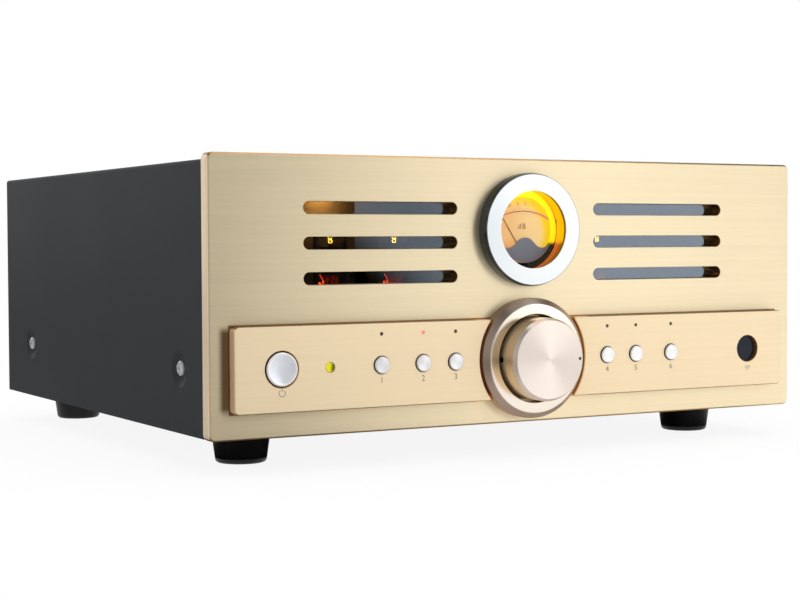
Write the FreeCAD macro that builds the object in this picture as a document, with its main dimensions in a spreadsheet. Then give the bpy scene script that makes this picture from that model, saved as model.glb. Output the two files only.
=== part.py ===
import FreeCAD, Part
import math
import os
import types

import Sketcher

# Tube integrated amplifier: gold faceplate, dark folded case, level meter, knob and buttons.
# The frame has +X to the right seen from the front, +Y to the rear and +Z up. Its origin is on the
# floor under the middle of the whole object.

# Driving dimensions in millimetres, degrees or counts. A place on the faceplate is measured from
# the middle of its width and from its bottom edge; a depth is measured from its front face. An
# inset is measured inwards from the side or the rear of the case, so it follows the case's size.
DIMENSIONS = {
    # Case and floor
    "front_y": -192.65,
    "foot_height": 21.0,
    "panel_skirt": 1.0,
    "case_depth": 391.0,
    "sheet": 1.5,
    "cover_sheet": 1.2,
    "cover_inset": 0.5,
    "cover_drop": 3.6,
    "cover_bend": 2.0,
    # Faceplate
    "panel_width": 430.0,
    "panel_height": 164.0,
    "panel_thickness": 8.5,
    "panel_corner": 4.0,
    "panel_bevel": 1.0,
    "slot_rise": 112.3,
    "slot_pitch": 20.65,
    "slot_across": 102.85,
    "slot_length": 104.1,
    "slot_height": 7.5,
    # Control strip
    "control_rise": 40.2,
    "strip_inset": 13.0,
    "strip_height": 50.0,
    "strip_thickness": 7.2,
    "strip_corner": 3.0,
    "strip_inner_corner": 1.0,
    "strip_bevel": 0.6,
    "strip_cutout_radius": 39.0,
    # Volume knob, its ring, shaft, control and motor
    "ring_radius": 37.3,
    "ring_shoulder": 7.4,
    "ring_face_radius": 33.65,
    "ring_proud": 10.8,
    "ring_hole_radius": 27.4,
    "ring_hole_bevel": 0.4,
    "knob_radius": 25.6,
    "knob_proud": 25.7,
    "knob_bevel": 1.5,
    "knob_shoulder": 2.5,
    "knob_gap": 2.0,
    "knob_recess_radius": 13.0,
    "knob_recess_depth": 6.0,
    "knob_dot_across": 22.2,
    "knob_dot_radius": 0.9,
    "knob_dot_depth": 0.6,
    "grub_radius": 1.95,
    "grub_length": 7.0,
    "grub_socket_radius": 1.1,
    "grub_socket_depth": 2.5,
    "grub_depth": 10.3,
    "shaft_radius": 3.0,
    "shaft_in_knob": 15.0,
    "running_gap": 0.06,
    "bushing_radius": 4.0,
    "bushing_proud": 4.5,
    "bushing_gap": 0.1,
    "pot_side": 30.0,
    "pot_depth": 25.5,
    "nut_radius": 6.4,
    "nut_height": 2.5,
    "gear_module": 1.0,
    "gear_teeth": 24,
    "pinion_teeth": 12,
    "gear_width": 3.8,
    "gear_gap": 0.6,
    "tooth_addendum": 0.8,
    "tooth_dedendum": 1.1,
    "tooth_backlash": 0.35,
    "gear_plate": 1.5,
    "gear_post_radius": 1.6,
    "gear_post_across": 12.0,
    "motor_radius": 10.0,
    "motor_length": 21.0,
    "motor_shaft_radius": 1.0,
    "motor_shaft_length": 5.0,
    # Level meter
    "meter_rise": 119.95,
    "bezel_radius": 35.2,
    "bezel_proud": 8.0,
    "bezel_bevel": 0.8,
    "bezel_shoulder": 2.4,
    "bezel_spigot_radius": 29.9,
    "bezel_spigot_length": 6.0,
    "spigot_gap": 0.05,
    "window_radius": 24.0,
    "window_lip": 2.0,
    "glass_thickness": 2.0,
    "housing_radius": 27.4,
    "housing_wall": 2.4,
    "housing_depth": 30.0,
    "dial_radius": 20.6,
    "dial_depth": 4.5,
    "dial_thickness": 0.8,
    "dial_hole_radius": 2.5,
    "mask_depth": 2.0,
    "mask_thickness": 0.6,
    "mask_top": 4.9,
    "mask_low": 11.2,
    "mask_low_across": 13.0,
    "mask_side_across": 19.0,
    "mask_post_radius": 1.0,
    "mask_post_across": 12.0,
    "mask_post_drop": 14.0,
    "needle_pivot": 17.0,
    "needle_angle": -33.0,
    "needle_length": 30.0,
    "needle_tail": 5.5,
    "needle_root": 0.7,
    "needle_tip": 0.4,
    "needle_depth": 3.2,
    "needle_thickness": 0.4,
    "needle_hub_radius": 1.5,
    "needle_hub_reach": 3.0,
    "movement_radius": 10.5,
    "movement_drop": 10.0,
    "lamp_across": 10.0,
    "lamp_rise": 12.0,
    "lamp_radius": 2.5,
    "lamp_length": 9.0,
    "lamp_board_width": 34.0,
    "lamp_board_height": 9.0,
    # Panes behind the slots
    "pane_thickness": 2.0,
    "pane_margin": 5.0,
    # Buttons, lights and the board behind them
    "power_inset": 42.5,
    "power_radius": 9.75,
    "power_proud": 1.2,
    "power_dish": 1.0,
    "power_rim": 0.9,
    "power_hole_gap": 0.35,
    "power_hole_bevel": 0.9,
    "power_travel": 1.0,
    "button_flange": 1.3,
    "button_flange_height": 1.2,
    "plunger_gap": 1.0,
    "power_switch_width": 18.0,
    "power_switch_depth": 26.0,
    "power_stem_radius": 3.0,
    "source_inner": 56.5,
    "source_middle": 79.2,
    "source_outer": 107.5,
    "source_radius": 5.0,
    "source_proud": 1.5,
    "source_bevel": 0.5,
    "source_hole_gap": 0.45,
    "source_travel": 0.8,
    "source_stem_radius": 2.5,
    "source_plunger_radius": 1.7,
    "plunger_reach": 1.5,
    "tact_side": 6.0,
    "tact_depth": 3.5,
    "indicator_rise": 18.4,
    "indicator_radius": 1.0,
    "indicator_recess": 0.3,
    "light_gap": 0.1,
    "lamp_light_inset": 73.5,
    "lamp_light_radius": 3.0,
    "lamp_light_proud": 0.8,
    "sensor_radius": 8.7,
    "sensor_recess": 3.0,
    "sensor_bevel": 0.5,
    "sensor_eye_radius": 3.0,
    "sensor_eye_depth": 4.5,
    "sensor_sight_radius": 6.0,
    "board": 1.6,
    "board_gap": 7.5,
    "front_board_inset": 29.0,
    "front_board_half_height": 26.0,
    "front_board_notch": 34.0,
    "pillar_radius": 3.0,
    "pillar_across": 93.0,
    "pillar_rise": 14.0,
    # Fasteners
    "screw_radius": 1.5,
    "screw_head_radius": 3.2,
    "screw_head_height": 2.0,
    "screw_grip": 5.5,
    "strip_screw_across": 130.0,
    "strip_screw_rise": 17.0,
    "ring_screw_across": 31.5,
    "tab_screw_low": 14.0,
    "tab_screw_high": 44.0,
    "case_screw_radius": 2.0,
    "case_screw_head_radius": 4.4,
    "case_screw_head_height": 1.9,
    "case_screw_head_bevel": 1.2,
    "case_screw_length": 6.0,
    "cross_width": 1.1,
    "cross_reach": 2.3,
    "cross_depth": 1.2,
    "dimple_radius": 11.5,
    "dimple_inner_radius": 12.3,
    "dimple_depth": 1.5,
    "dimple_slope": 4.6,
    "dimple_rise": 39.3,
    "dimple_front": 44.5,
    "dimple_rear_inset": 58.0,
    # Tray and rear panel
    "flange_height": 50.0,
    "tab_width": 20.0,
    "lip_height": 12.0,
    "vent_width": 4.0,
    "vent_pitch": 12.0,
    "vent_count": 25,
    "front_vent_back": 60.0,
    "front_vent_length": 62.0,
    "rear_vent_back": 165.0,
    "rear_vent_length": 100.0,
    "floor_vent_count": 9,
    "floor_vent_length": 30.0,
    "floor_vent_across": 152.0,
    "floor_vent_back": 117.0,
    # Feet
    "foot_radius": 18.3,
    "foot_bottom_radius": 15.4,
    "foot_round": 2.5,
    "foot_bore_radius": 6.0,
    "foot_bore_depth": 13.0,
    "foot_inset": 45.0,
    "foot_front": 57.0,
    "foot_rear_inset": 30.0,
    # Tubes
    "tube_back": 69.0,
    "tube_across": 57.0,
    "tube_pitch": 46.0,
    "tube_board_rise": 64.4,
    "tube_board_inner": 35.0,
    "tube_board_outer": 126.0,
    "tube_board_depth": 42.0,
    "tube_pillar_inset": 6.0,
    "tube_socket_radius": 11.0,
    "tube_socket_height": 10.0,
    "tube_radius": 10.8,
    "tube_height": 47.0,
    "tube_glass": 0.8,
    "tube_shoulder": 7.0,
    "tube_stem_radius": 2.0,
    "anode_radius": 5.2,
    "anode_low": 9.0,
    "anode_high": 33.0,
    "mica_radius": 8.8,
    "mica_thickness": 0.6,
    "cathode_radius": 1.2,
    "cathode_height": 2.5,
    # Amplifier board, capacitors and heat sinks
    "main_board_front": 95.0,
    "main_board_depth": 115.0,
    "main_board_width": 226.0,
    "main_pillar": 8.0,
    "main_pillar_inset": 7.0,
    "can_radius": 15.0,
    "can_height": 42.0,
    "can_round": 1.5,
    "can_inset": 29.0,
    "can_back": 22.0,
    "can_pitch_across": 36.0,
    "can_pitch_back": 35.0,
    "sink_gap": 15.0,
    "sink_base": 5.0,
    "sink_fin": 2.0,
    "sink_fin_length": 30.0,
    "sink_fin_count": 9,
    "sink_fin_pitch": 14.0,
    "sink_height": 60.0,
    "transistor_width": 15.0,
    "transistor_height": 20.0,
    "transistor_thickness": 5.0,
    "transistor_rise": 25.0,
    "transistor_offset": 28.0,
    # Mains transformer
    "core_across": 20.0,
    "core_inset": 80.0,
    "core_radius": 55.0,
    "core_hole_radius": 17.0,
    "core_height": 52.0,
    "core_round": 10.0,
    "clamp_radius": 40.0,
    "clamp_thickness": 2.0,
    "clamp_bolt_radius": 4.0,
    "clamp_nut_radius": 7.5,
    "clamp_nut_height": 6.0,
    # Loudspeaker posts
    "post_rise": 92.0,
    "post_inset": 83.0,
    "post_pair_pitch": 19.0,
    "post_channel_pitch": 54.0,
    "post_core_radius": 3.0,
    "post_reach": 20.0,
    "post_inside": 14.0,
    "post_collar_radius": 7.5,
    "post_collar_height": 3.0,
    "post_nut_radius": 6.5,
    "post_nut_height": 3.0,
    "post_bush_radius": 4.5,
    "socket_hole_gap": 0.15,
    "banana_radius": 2.0,
    "banana_depth": 15.0,
    "wire_hole_radius": 1.3,
    "wire_hole_reach": 4.7,
    "cap_radius": 7.4,
    "cap_foot_gap": 0.1,
    "cap_flute_radius": 1.0,
    "cap_flutes": 12,
    "cap_bevel": 0.7,
    # Input sockets
    "jack_rise": 90.0,
    "jack_inset": 133.0,
    "jack_pitch": 22.5,
    "jack_pairs": 5,
    "jack_row_pitch": 22.0,
    "jack_radius": 4.15,
    "jack_wall": 0.95,
    "jack_length": 9.5,
    "jack_flange_radius": 6.5,
    "jack_flange_height": 1.5,
    "jack_tail_radius": 4.9,
    "jack_tail_length": 8.0,
    "jack_nut_height": 2.2,
    "jack_core_recess": 2.0,
    "jack_pin_radius": 1.6,
    "jack_pin_depth": 7.0,
    # Mains inlet with its fuse drawer
    "inlet_inset": 47.0,
    "inlet_rise": 64.0,
    "inlet_flange_width": 50.0,
    "inlet_flange_low": 20.5,
    "inlet_flange_high": 16.0,
    "inlet_flange_thickness": 3.0,
    "inlet_flange_corner": 5.0,
    "inlet_screw_across": 20.0,
    "inlet_body_width": 28.0,
    "inlet_body_low": 18.0,
    "inlet_body_high": 13.0,
    "inlet_depth": 27.0,
    "inlet_mouth_width": 24.0,
    "inlet_mouth_height": 16.5,
    "inlet_mouth_depth": 16.0,
    "inlet_mouth_bevel": 4.0,
    "blade_width": 2.0,
    "blade_height": 4.0,
    "blade_reach": 13.0,
    "blade_across": 7.0,
    "blade_drop": 2.0,
    "drawer_width": 22.0,
    "drawer_height": 5.6,
    "drawer_depth": 21.0,
    "drawer_drop": 14.0,
    "drawer_front_width": 25.0,
    "drawer_front_height": 7.6,
    "drawer_front_thickness": 2.0,
    "drawer_notch_width": 8.0,
    "drawer_notch_height": 2.5,
    "fuse_pocket_length": 18.0,
    "fuse_pocket_width": 6.0,
    "fuse_pocket_depth": 3.6,
    # Data socket
    "data_inset": 163.0,
    "data_rise": 101.0,
    "data_width": 12.0,
    "data_height": 11.0,
    "data_depth": 16.0,
    "data_flange": 2.2,
    "data_flange_thickness": 1.0,
    "data_mouth_width": 8.5,
    "data_mouth_height": 7.8,
    "data_mouth_depth": 9.0,
    "data_mouth_bevel": 1.6,
    "data_tongue_width": 5.6,
    "data_tongue_height": 3.2,
    "data_tongue_length": 8.0,
}

os.makedirs("parts", exist_ok=True)
doc = FreeCAD.newDocument("TubeIntegratedAmplifier")

sheet = doc.addObject("Spreadsheet::Sheet", "Sizes")
for row, (alias, value) in enumerate(DIMENSIONS.items(), start=1):
    sheet.set(f"A{row}", alias.replace("_", " "))
    sheet.set(f"B{row}", str(value))
    sheet.setAlias(f"B{row}", alias)
doc.recompute()


class Measure:
    """A length, angle or count that carries its formula on the sheet and its present value."""

    def __init__(self, formula, value):
        self.formula = formula
        self.value = value

    def __add__(self, other):
        return join(self, "+", other, number(self) + number(other))

    def __radd__(self, other):
        return join(other, "+", self, number(other) + number(self))

    def __sub__(self, other):
        return join(self, "-", other, number(self) - number(other))

    def __rsub__(self, other):
        return join(other, "-", self, number(other) - number(self))

    def __mul__(self, other):
        return join(self, "*", other, number(self) * number(other))

    def __rmul__(self, other):
        return join(other, "*", self, number(other) * number(self))

    def __truediv__(self, other):
        return join(self, "/", other, number(self) / number(other))

    def __rtruediv__(self, other):
        return join(other, "/", self, number(other) / number(self))

    def __neg__(self):
        return Measure(f"(0 - {self.formula})", -self.value)


def number(quantity):
    """Present value of a measure or of a plain number."""
    return quantity.value if isinstance(quantity, Measure) else quantity


def formula(quantity):
    """Text of a measure or of a plain number for an expression."""
    return quantity.formula if isinstance(quantity, Measure) else f"({quantity})"


def join(left, sign, right, value):
    """Measure made of two others, with its formula kept."""
    return Measure(f"({formula(left)} {sign} {formula(right)})", value)


def bind(owner, path, quantity):
    """Ties one property of an object to its formula on the sheet."""
    owner.setExpression(path, formula(quantity))


size = types.SimpleNamespace()
for alias, value in DIMENSIONS.items():
    setattr(size, alias, Measure(f"Sizes.{alias}", value))

# Levels and planes that many pieces share
FACE = size.front_y
PANEL_BACK = FACE + size.panel_thickness
PANEL_BOTTOM = size.foot_height - size.panel_skirt
CONTROL_LINE = PANEL_BOTTOM + size.control_rise
METER_LINE = PANEL_BOTTOM + size.meter_rise
FLOOR = size.foot_height + size.sheet
CASE_TOP = PANEL_BOTTOM + size.panel_height - size.cover_drop
REAR_FACE = FACE + size.case_depth
HALF_WIDTH = size.panel_width / 2
COVER_SIDE = HALF_WIDTH - size.cover_inset
COVER_INSIDE = COVER_SIDE - size.cover_sheet
FLANGE_SIDE = COVER_INSIDE - size.dimple_depth
BOARD_FRONT = PANEL_BACK + size.board_gap
SOURCES = (size.source_inner, size.source_middle, size.source_outer)

# Places that follow a side or the rear of the case when its size changes
STRIP_END = HALF_WIDTH - size.strip_inset
POWER_ACROSS = HALF_WIDTH - size.power_inset
LAMP_ACROSS = HALF_WIDTH - size.lamp_light_inset
FRONT_BOARD_END = HALF_WIDTH - size.front_board_inset
FOOT_ACROSS = HALF_WIDTH - size.foot_inset
FOOT_REAR = size.case_depth - size.foot_rear_inset
DIMPLE_REAR = size.case_depth - size.dimple_rear_inset
CORE_BACK = size.case_depth - size.core_inset
INLET_ACROSS = size.inlet_inset - HALF_WIDTH
POST_ACROSS = size.post_inset - HALF_WIDTH
JACK_ACROSS = HALF_WIDTH - size.jack_inset
DATA_ACROSS = HALF_WIDTH - size.data_inset
CAN_ACROSS = size.main_board_width / 2 - size.can_inset
CAN_FRONT = size.main_board_front + size.can_back
SINK_INNER = size.main_board_width / 2 + size.sink_gap

ROOT_POINT = -1
VERTICAL_AXIS = -2
HORIZONTAL_AXIS = -1
START = 1
END = 2
CENTRE = 3
TOLERANCE = 1e-4


def new_body(label, across=0, back=0, up=0):
    """Body named for its piece and placed in the common frame."""
    body = doc.addObject("PartDesign::Body", label)
    body.Label = label
    bind(body, "Placement.Base.x", across)
    bind(body, "Placement.Base.y", back)
    bind(body, "Placement.Base.z", up)
    return body


def origin_feature(body, role):
    """One of the body's own origin planes or axes."""
    return next(item for item in body.Origin.OriginFeatures if item.Role == role)


def new_sketch(body, role, offset):
    """Sketch on one origin plane of its body, moved along the plane's normal."""
    sketch = body.newObject("Sketcher::SketchObject", f"{body.Name}_sketch")
    sketch.AttachmentSupport = [(origin_feature(body, role), "")]
    sketch.MapMode = "FlatFace"
    bind(sketch, "AttachmentOffset.Base.z", offset)
    return sketch


def front_sketch(body, back=0):
    """Upright sketch seen from the front, a distance behind the body's origin."""
    return new_sketch(body, "XZ_Plane", -back)


def plan_sketch(body, up=0):
    """Level sketch, a distance above the body's origin."""
    return new_sketch(body, "XY_Plane", up)


def side_sketch(body, across=0):
    """Upright sketch seen from the side, a distance to the right of the body's origin."""
    return new_sketch(body, "YZ_Plane", across)


def hold_point(sketch, element, point, across, up):
    """Fixes one point of a sketch by its two distances from the sketch's origin."""
    for kind, axis, quantity in (("DistanceX", VERTICAL_AXIS, across), ("DistanceY", HORIZONTAL_AXIS, up)):
        if isinstance(quantity, Measure):
            rule = Sketcher.Constraint(kind, ROOT_POINT, START, element, point, quantity.value)
            index = sketch.addConstraint(rule)
            bind(sketch, f"Constraints[{index}]", quantity)
        else:
            sketch.addConstraint(Sketcher.Constraint("PointOnObject", element, point, axis))


def spot(across, up):
    """Point of a sketch at the present values."""
    return FreeCAD.Vector(number(across), number(up), 0)


def add_outline(sketch, corners):
    """Closed outline of straight edges through the given corners."""
    first = sketch.GeometryCount
    count = len(corners)
    for index in range(count):
        following = corners[(index + 1) % count]
        sketch.addGeometry(Part.LineSegment(spot(*corners[index]), spot(*following)), False)
    for index in range(count):
        neighbour = first + (index + 1) % count
        sketch.addConstraint(Sketcher.Constraint("Coincident", first + index, END, neighbour, START))
    for index, (across, up) in enumerate(corners):
        hold_point(sketch, first + index, START, across, up)


def add_rectangle(sketch, left, bottom, right, top):
    """Rectangle between two opposite corners."""
    add_outline(sketch, [(left, bottom), (right, bottom), (right, top), (left, top)])


def add_circle(sketch, radius, across=0, up=0):
    """Full circle with its centre held."""
    shape = Part.Circle(spot(across, up), FreeCAD.Vector(0, 0, 1), number(radius))
    index = sketch.addGeometry(shape, False)
    rule = sketch.addConstraint(Sketcher.Constraint("Radius", index, number(radius)))
    bind(sketch, f"Constraints[{rule}]", radius)
    hold_point(sketch, index, CENTRE, across, up)


def add_slot(sketch, across, up, length, width, upright=False):
    """Slot with round ends, lying across the sketch or standing upright in it."""
    radius = width / 2
    reach = length / 2 - radius
    first = sketch.GeometryCount
    turn = math.pi / 2 if upright else 0
    ends = ((across - reach, up), (across + reach, up))
    if upright:
        ends = ((across, up - reach), (across, up + reach))
    for centre, start in zip(ends, (math.pi / 2, -math.pi / 2)):
        circle = Part.Circle(spot(*centre), FreeCAD.Vector(0, 0, 1), number(radius))
        sketch.addGeometry(Part.ArcOfCircle(circle, start + turn, start + turn + math.pi), False)
    arcs = [sketch.Geometry[first], sketch.Geometry[first + 1]]
    sketch.addGeometry(Part.LineSegment(arcs[0].EndPoint, arcs[1].StartPoint), False)
    sketch.addGeometry(Part.LineSegment(arcs[1].EndPoint, arcs[0].StartPoint), False)
    for arc, side in ((0, 2), (1, 3)):
        other = 1 - arc
        sketch.addConstraint(Sketcher.Constraint("Tangent", first + arc, END, first + side, START))
        sketch.addConstraint(Sketcher.Constraint("Tangent", first + side, END, first + other, START))
        hold_point(sketch, first + arc, CENTRE, *ends[arc])
    rule = sketch.addConstraint(Sketcher.Constraint("Radius", first, number(radius)))
    bind(sketch, f"Constraints[{rule}]", radius)


def finish_feature(body, feature, sketch=None):
    """Makes a feature the body's last one and computes it."""
    body.Tip = feature
    if sketch is not None:
        sketch.Visibility = False
    doc.recompute()
    return feature


def pad(body, sketch, length, flip=False):
    """Pad of a sketch along its normal, or against it."""
    feature = body.newObject("PartDesign::Pad", f"{body.Name}_pad")
    feature.Profile = sketch
    bind(feature, "Length", length)
    feature.Reversed = flip
    return finish_feature(body, feature, sketch)


def pocket(body, sketch, depth=None, flip=False):
    """Pocket of a sketch against its normal, or along it; with no depth it goes right through."""
    feature = body.newObject("PartDesign::Pocket", f"{body.Name}_pocket")
    feature.Profile = sketch
    if depth is None:
        feature.Type = "ThroughAll"
    else:
        bind(feature, "Length", depth)
    feature.Reversed = flip
    return finish_feature(body, feature, sketch)


def turn(body, corners, axis="Y"):
    """Solid of revolution about the body's X, Y or Z axis, from corners (radius, along)."""
    sketch = front_sketch(body) if axis == "Z" else plan_sketch(body)
    if axis == "X":
        corners = [(along, radius) for radius, along in corners]
    add_outline(sketch, corners)
    feature = body.newObject("PartDesign::Revolution", f"{body.Name}_turned")
    feature.Profile = sketch
    feature.ReferenceAxis = (sketch, ["H_Axis" if axis == "X" else "V_Axis"])
    feature.Angle = 360
    return finish_feature(body, feature, sketch)


def turn_about(body, kind, corners, back, up):
    """Solid or groove turned about a line along X at a place of the body, from corners (along, radius)."""
    sketch = plan_sketch(body, up)
    add_outline(sketch, [(along, back + radius) for along, radius in corners])
    first, last = corners[0][0], corners[-1][0]
    axis = sketch.addGeometry(Part.LineSegment(spot(first, back), spot(last, back)), True)
    hold_point(sketch, axis, START, first, back)
    hold_point(sketch, axis, END, last, back)
    feature = body.newObject(f"PartDesign::{kind}", f"{body.Name}_{kind.lower()}")
    feature.Profile = sketch
    feature.ReferenceAxis = (sketch, ["Axis0"])
    feature.Angle = 360
    return finish_feature(body, feature, sketch)


def repeat(body, originals, directions):
    """Copies of features along one or two of the body's axes, each (axis, spacing, count)."""
    feature = body.newObject("PartDesign::LinearPattern", f"{body.Name}_pattern")
    feature.Originals = originals
    for suffix, (axis, spacing, count) in zip(("", "2"), directions):
        setattr(feature, f"Direction{suffix}", (origin_feature(body, f"{axis}_Axis"), [""]))
        setattr(feature, f"Mode{suffix}", "Spacing")
        bind(feature, f"Offset{suffix}", spacing)
        bind(feature, f"Occurrences{suffix}", count)
        setattr(feature, f"Occurrences{suffix}", int(number(count)))
        setattr(feature, f"Spacings{suffix}", [-1.0] * (int(number(count)) - 1))
    return finish_feature(body, feature)


def ring_of(body, originals, count, axis="Y"):
    """Copies of features round one of the body's axes."""
    feature = body.newObject("PartDesign::PolarPattern", f"{body.Name}_pattern")
    feature.Originals = originals
    feature.Axis = (origin_feature(body, f"{axis}_Axis"), [""])
    feature.Angle = 360
    bind(feature, "Occurrences", count)
    return finish_feature(body, feature)


def span(edge, axis):
    """Lowest and highest coordinate of an edge along x, y or z."""
    box = edge.BoundBox
    return {"x": (box.XMin, box.XMax), "y": (box.YMin, box.YMax), "z": (box.ZMin, box.ZMax)}[axis]


def lies_at(edge, axis, place):
    """True where the whole edge lies in one plane across an axis."""
    low, high = span(edge, axis)
    return abs(low - number(place)) < TOLERANCE and abs(high - number(place)) < TOLERANCE


def runs_along(edge, axis):
    """True for a straight edge parallel to an axis."""
    low, high = span(edge, axis)
    return abs(high - low - edge.Length) < TOLERANCE and edge.Length > TOLERANCE


def is_ring(edge, radius):
    """True for a full circle of the given radius."""
    if not isinstance(edge.Curve, Part.Circle) or not edge.isClosed():
        return False
    return abs(edge.Curve.Radius - number(radius)) < TOLERANCE


def dress(body, kind, prop, amount, wanted):
    """Fillet or chamfer on those edges of the last feature that pass the test."""
    last = body.Tip
    names = [f"Edge{index}" for index, edge in enumerate(last.Shape.Edges, start=1) if wanted(edge)]
    if not names:
        raise RuntimeError(f"{body.Label}: no edge to dress")
    feature = body.newObject(f"PartDesign::{kind}", f"{body.Name}_{kind.lower()}")
    feature.Base = (last, names)
    bind(feature, prop, amount)
    return finish_feature(body, feature)


def round_edges(body, radius, wanted):
    """Rounds the chosen edges of the last feature."""
    return dress(body, "Fillet", "Radius", radius, wanted)


def bevel_edges(body, width, wanted):
    """Bevels the chosen edges of the last feature."""
    return dress(body, "Chamfer", "Size", width, wanted)


def box(label, across, back, up, width, depth, height):
    """Plain block from its lowest corner."""
    block = doc.addObject("Part::Box", label)
    block.Label = label
    bind(block, "Length", width)
    bind(block, "Width", depth)
    bind(block, "Height", height)
    bind(block, "Placement.Base.x", across)
    bind(block, "Placement.Base.y", back)
    bind(block, "Placement.Base.z", up)
    return block


def group(label, members):
    """One node that holds several separate solids."""
    node = doc.addObject("Part::Compound", label)
    node.Label = label
    node.Links = members
    return node


def side_name(side):
    """Word for the side of a mirrored pair."""
    return "left" if side < 0 else "right"


def front_panel():
    """Thick faceplate: six long slots, the meter's hole and a bore for each control."""
    body = new_body("front_panel", 0, FACE, PANEL_BOTTOM)
    plate = front_sketch(body)
    add_rectangle(plate, -HALF_WIDTH, 0, HALF_WIDTH, size.panel_height)
    pad(body, plate, size.panel_thickness, flip=True)
    round_edges(body, size.panel_corner, lambda edge: runs_along(edge, "y"))
    bevel_edges(body, size.panel_bevel, lambda edge: lies_at(edge, "y", 0))
    slots = front_sketch(body)
    for side in (-1, 1):
        for row in (-1, 0, 1):
            level = size.slot_rise + row * size.slot_pitch
            add_slot(slots, side * size.slot_across, level, size.slot_length, size.slot_height)
    pocket(body, slots)
    bores = front_sketch(body)
    add_circle(bores, size.bezel_spigot_radius + size.spigot_gap, 0, size.meter_rise)
    add_circle(bores, size.bushing_radius + size.bushing_gap, 0, size.control_rise)
    add_circle(bores, size.power_radius + size.running_gap, -POWER_ACROSS, size.control_rise)
    add_circle(bores, size.lamp_light_radius + size.light_gap, -LAMP_ACROSS, size.control_rise)
    add_circle(bores, size.sensor_sight_radius, POWER_ACROSS, size.control_rise)
    indicator_level = size.control_rise + size.indicator_rise
    for side in (-1, 1):
        for place in SOURCES:
            add_circle(bores, size.source_radius + size.running_gap, side * place, size.control_rise)
            add_circle(bores, size.indicator_radius + size.light_gap, side * place, indicator_level)
        add_circle(bores, size.screw_radius, side * size.ring_screw_across, size.control_rise)
        for level in (-1, 1):
            rise = size.control_rise + level * size.strip_screw_rise
            add_circle(bores, size.screw_radius, side * size.strip_screw_across, rise)
    pocket(body, bores)
    tapped = front_sketch(body, size.panel_thickness)
    for side in (-1, 1):
        for level in (size.tab_screw_low, size.tab_screw_high):
            add_circle(tapped, size.screw_radius, side * (FLANGE_SIDE - size.tab_width / 2), level)
    pocket(body, tapped, size.screw_grip, flip=True)
    return body


def control_strip(side):
    """One half of the raised control strip, cut round for the knob's ring."""
    body = new_body(f"control_strip_{side_name(side)}", 0, FACE, CONTROL_LINE)
    half = size.strip_height / 2
    plate = front_sketch(body)
    add_rectangle(plate, 0, -half, side * STRIP_END, half)
    pad(body, plate, size.strip_thickness)
    cutout = front_sketch(body, -size.strip_thickness)
    add_circle(cutout, size.strip_cutout_radius)
    pocket(body, cutout)
    middle = number(STRIP_END) / 2
    for radius, outer in ((size.strip_corner, True), (size.strip_inner_corner, False)):
        round_edges(
            body, radius, lambda edge: runs_along(edge, "y") and (abs(edge.BoundBox.XMin) > middle) == outer
        )
    bevel_edges(body, size.strip_bevel, lambda edge: lies_at(edge, "y", -size.strip_thickness))
    holes = front_sketch(body, -size.strip_thickness)
    for place in SOURCES:
        add_circle(holes, size.source_radius + size.source_hole_gap, side * place)
        add_circle(holes, size.indicator_radius + size.light_gap, side * place, size.indicator_rise)
    if side < 0:
        wide_hole = size.power_radius + size.power_hole_gap
        add_circle(holes, size.lamp_light_radius + size.light_gap, -LAMP_ACROSS)
        rim = size.power_hole_bevel
    else:
        wide_hole = size.sensor_radius
        rim = size.sensor_bevel
    add_circle(holes, wide_hole, side * POWER_ACROSS)
    pocket(body, holes)
    face = -size.strip_thickness
    bevel_edges(body, rim, lambda edge: is_ring(edge, wide_hole) and lies_at(edge, "y", face))
    tapped = front_sketch(body)
    for level in (-1, 1):
        add_circle(tapped, size.screw_radius, side * size.strip_screw_across, level * size.strip_screw_rise)
    pocket(body, tapped, size.screw_grip, flip=True)
    return body


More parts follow.
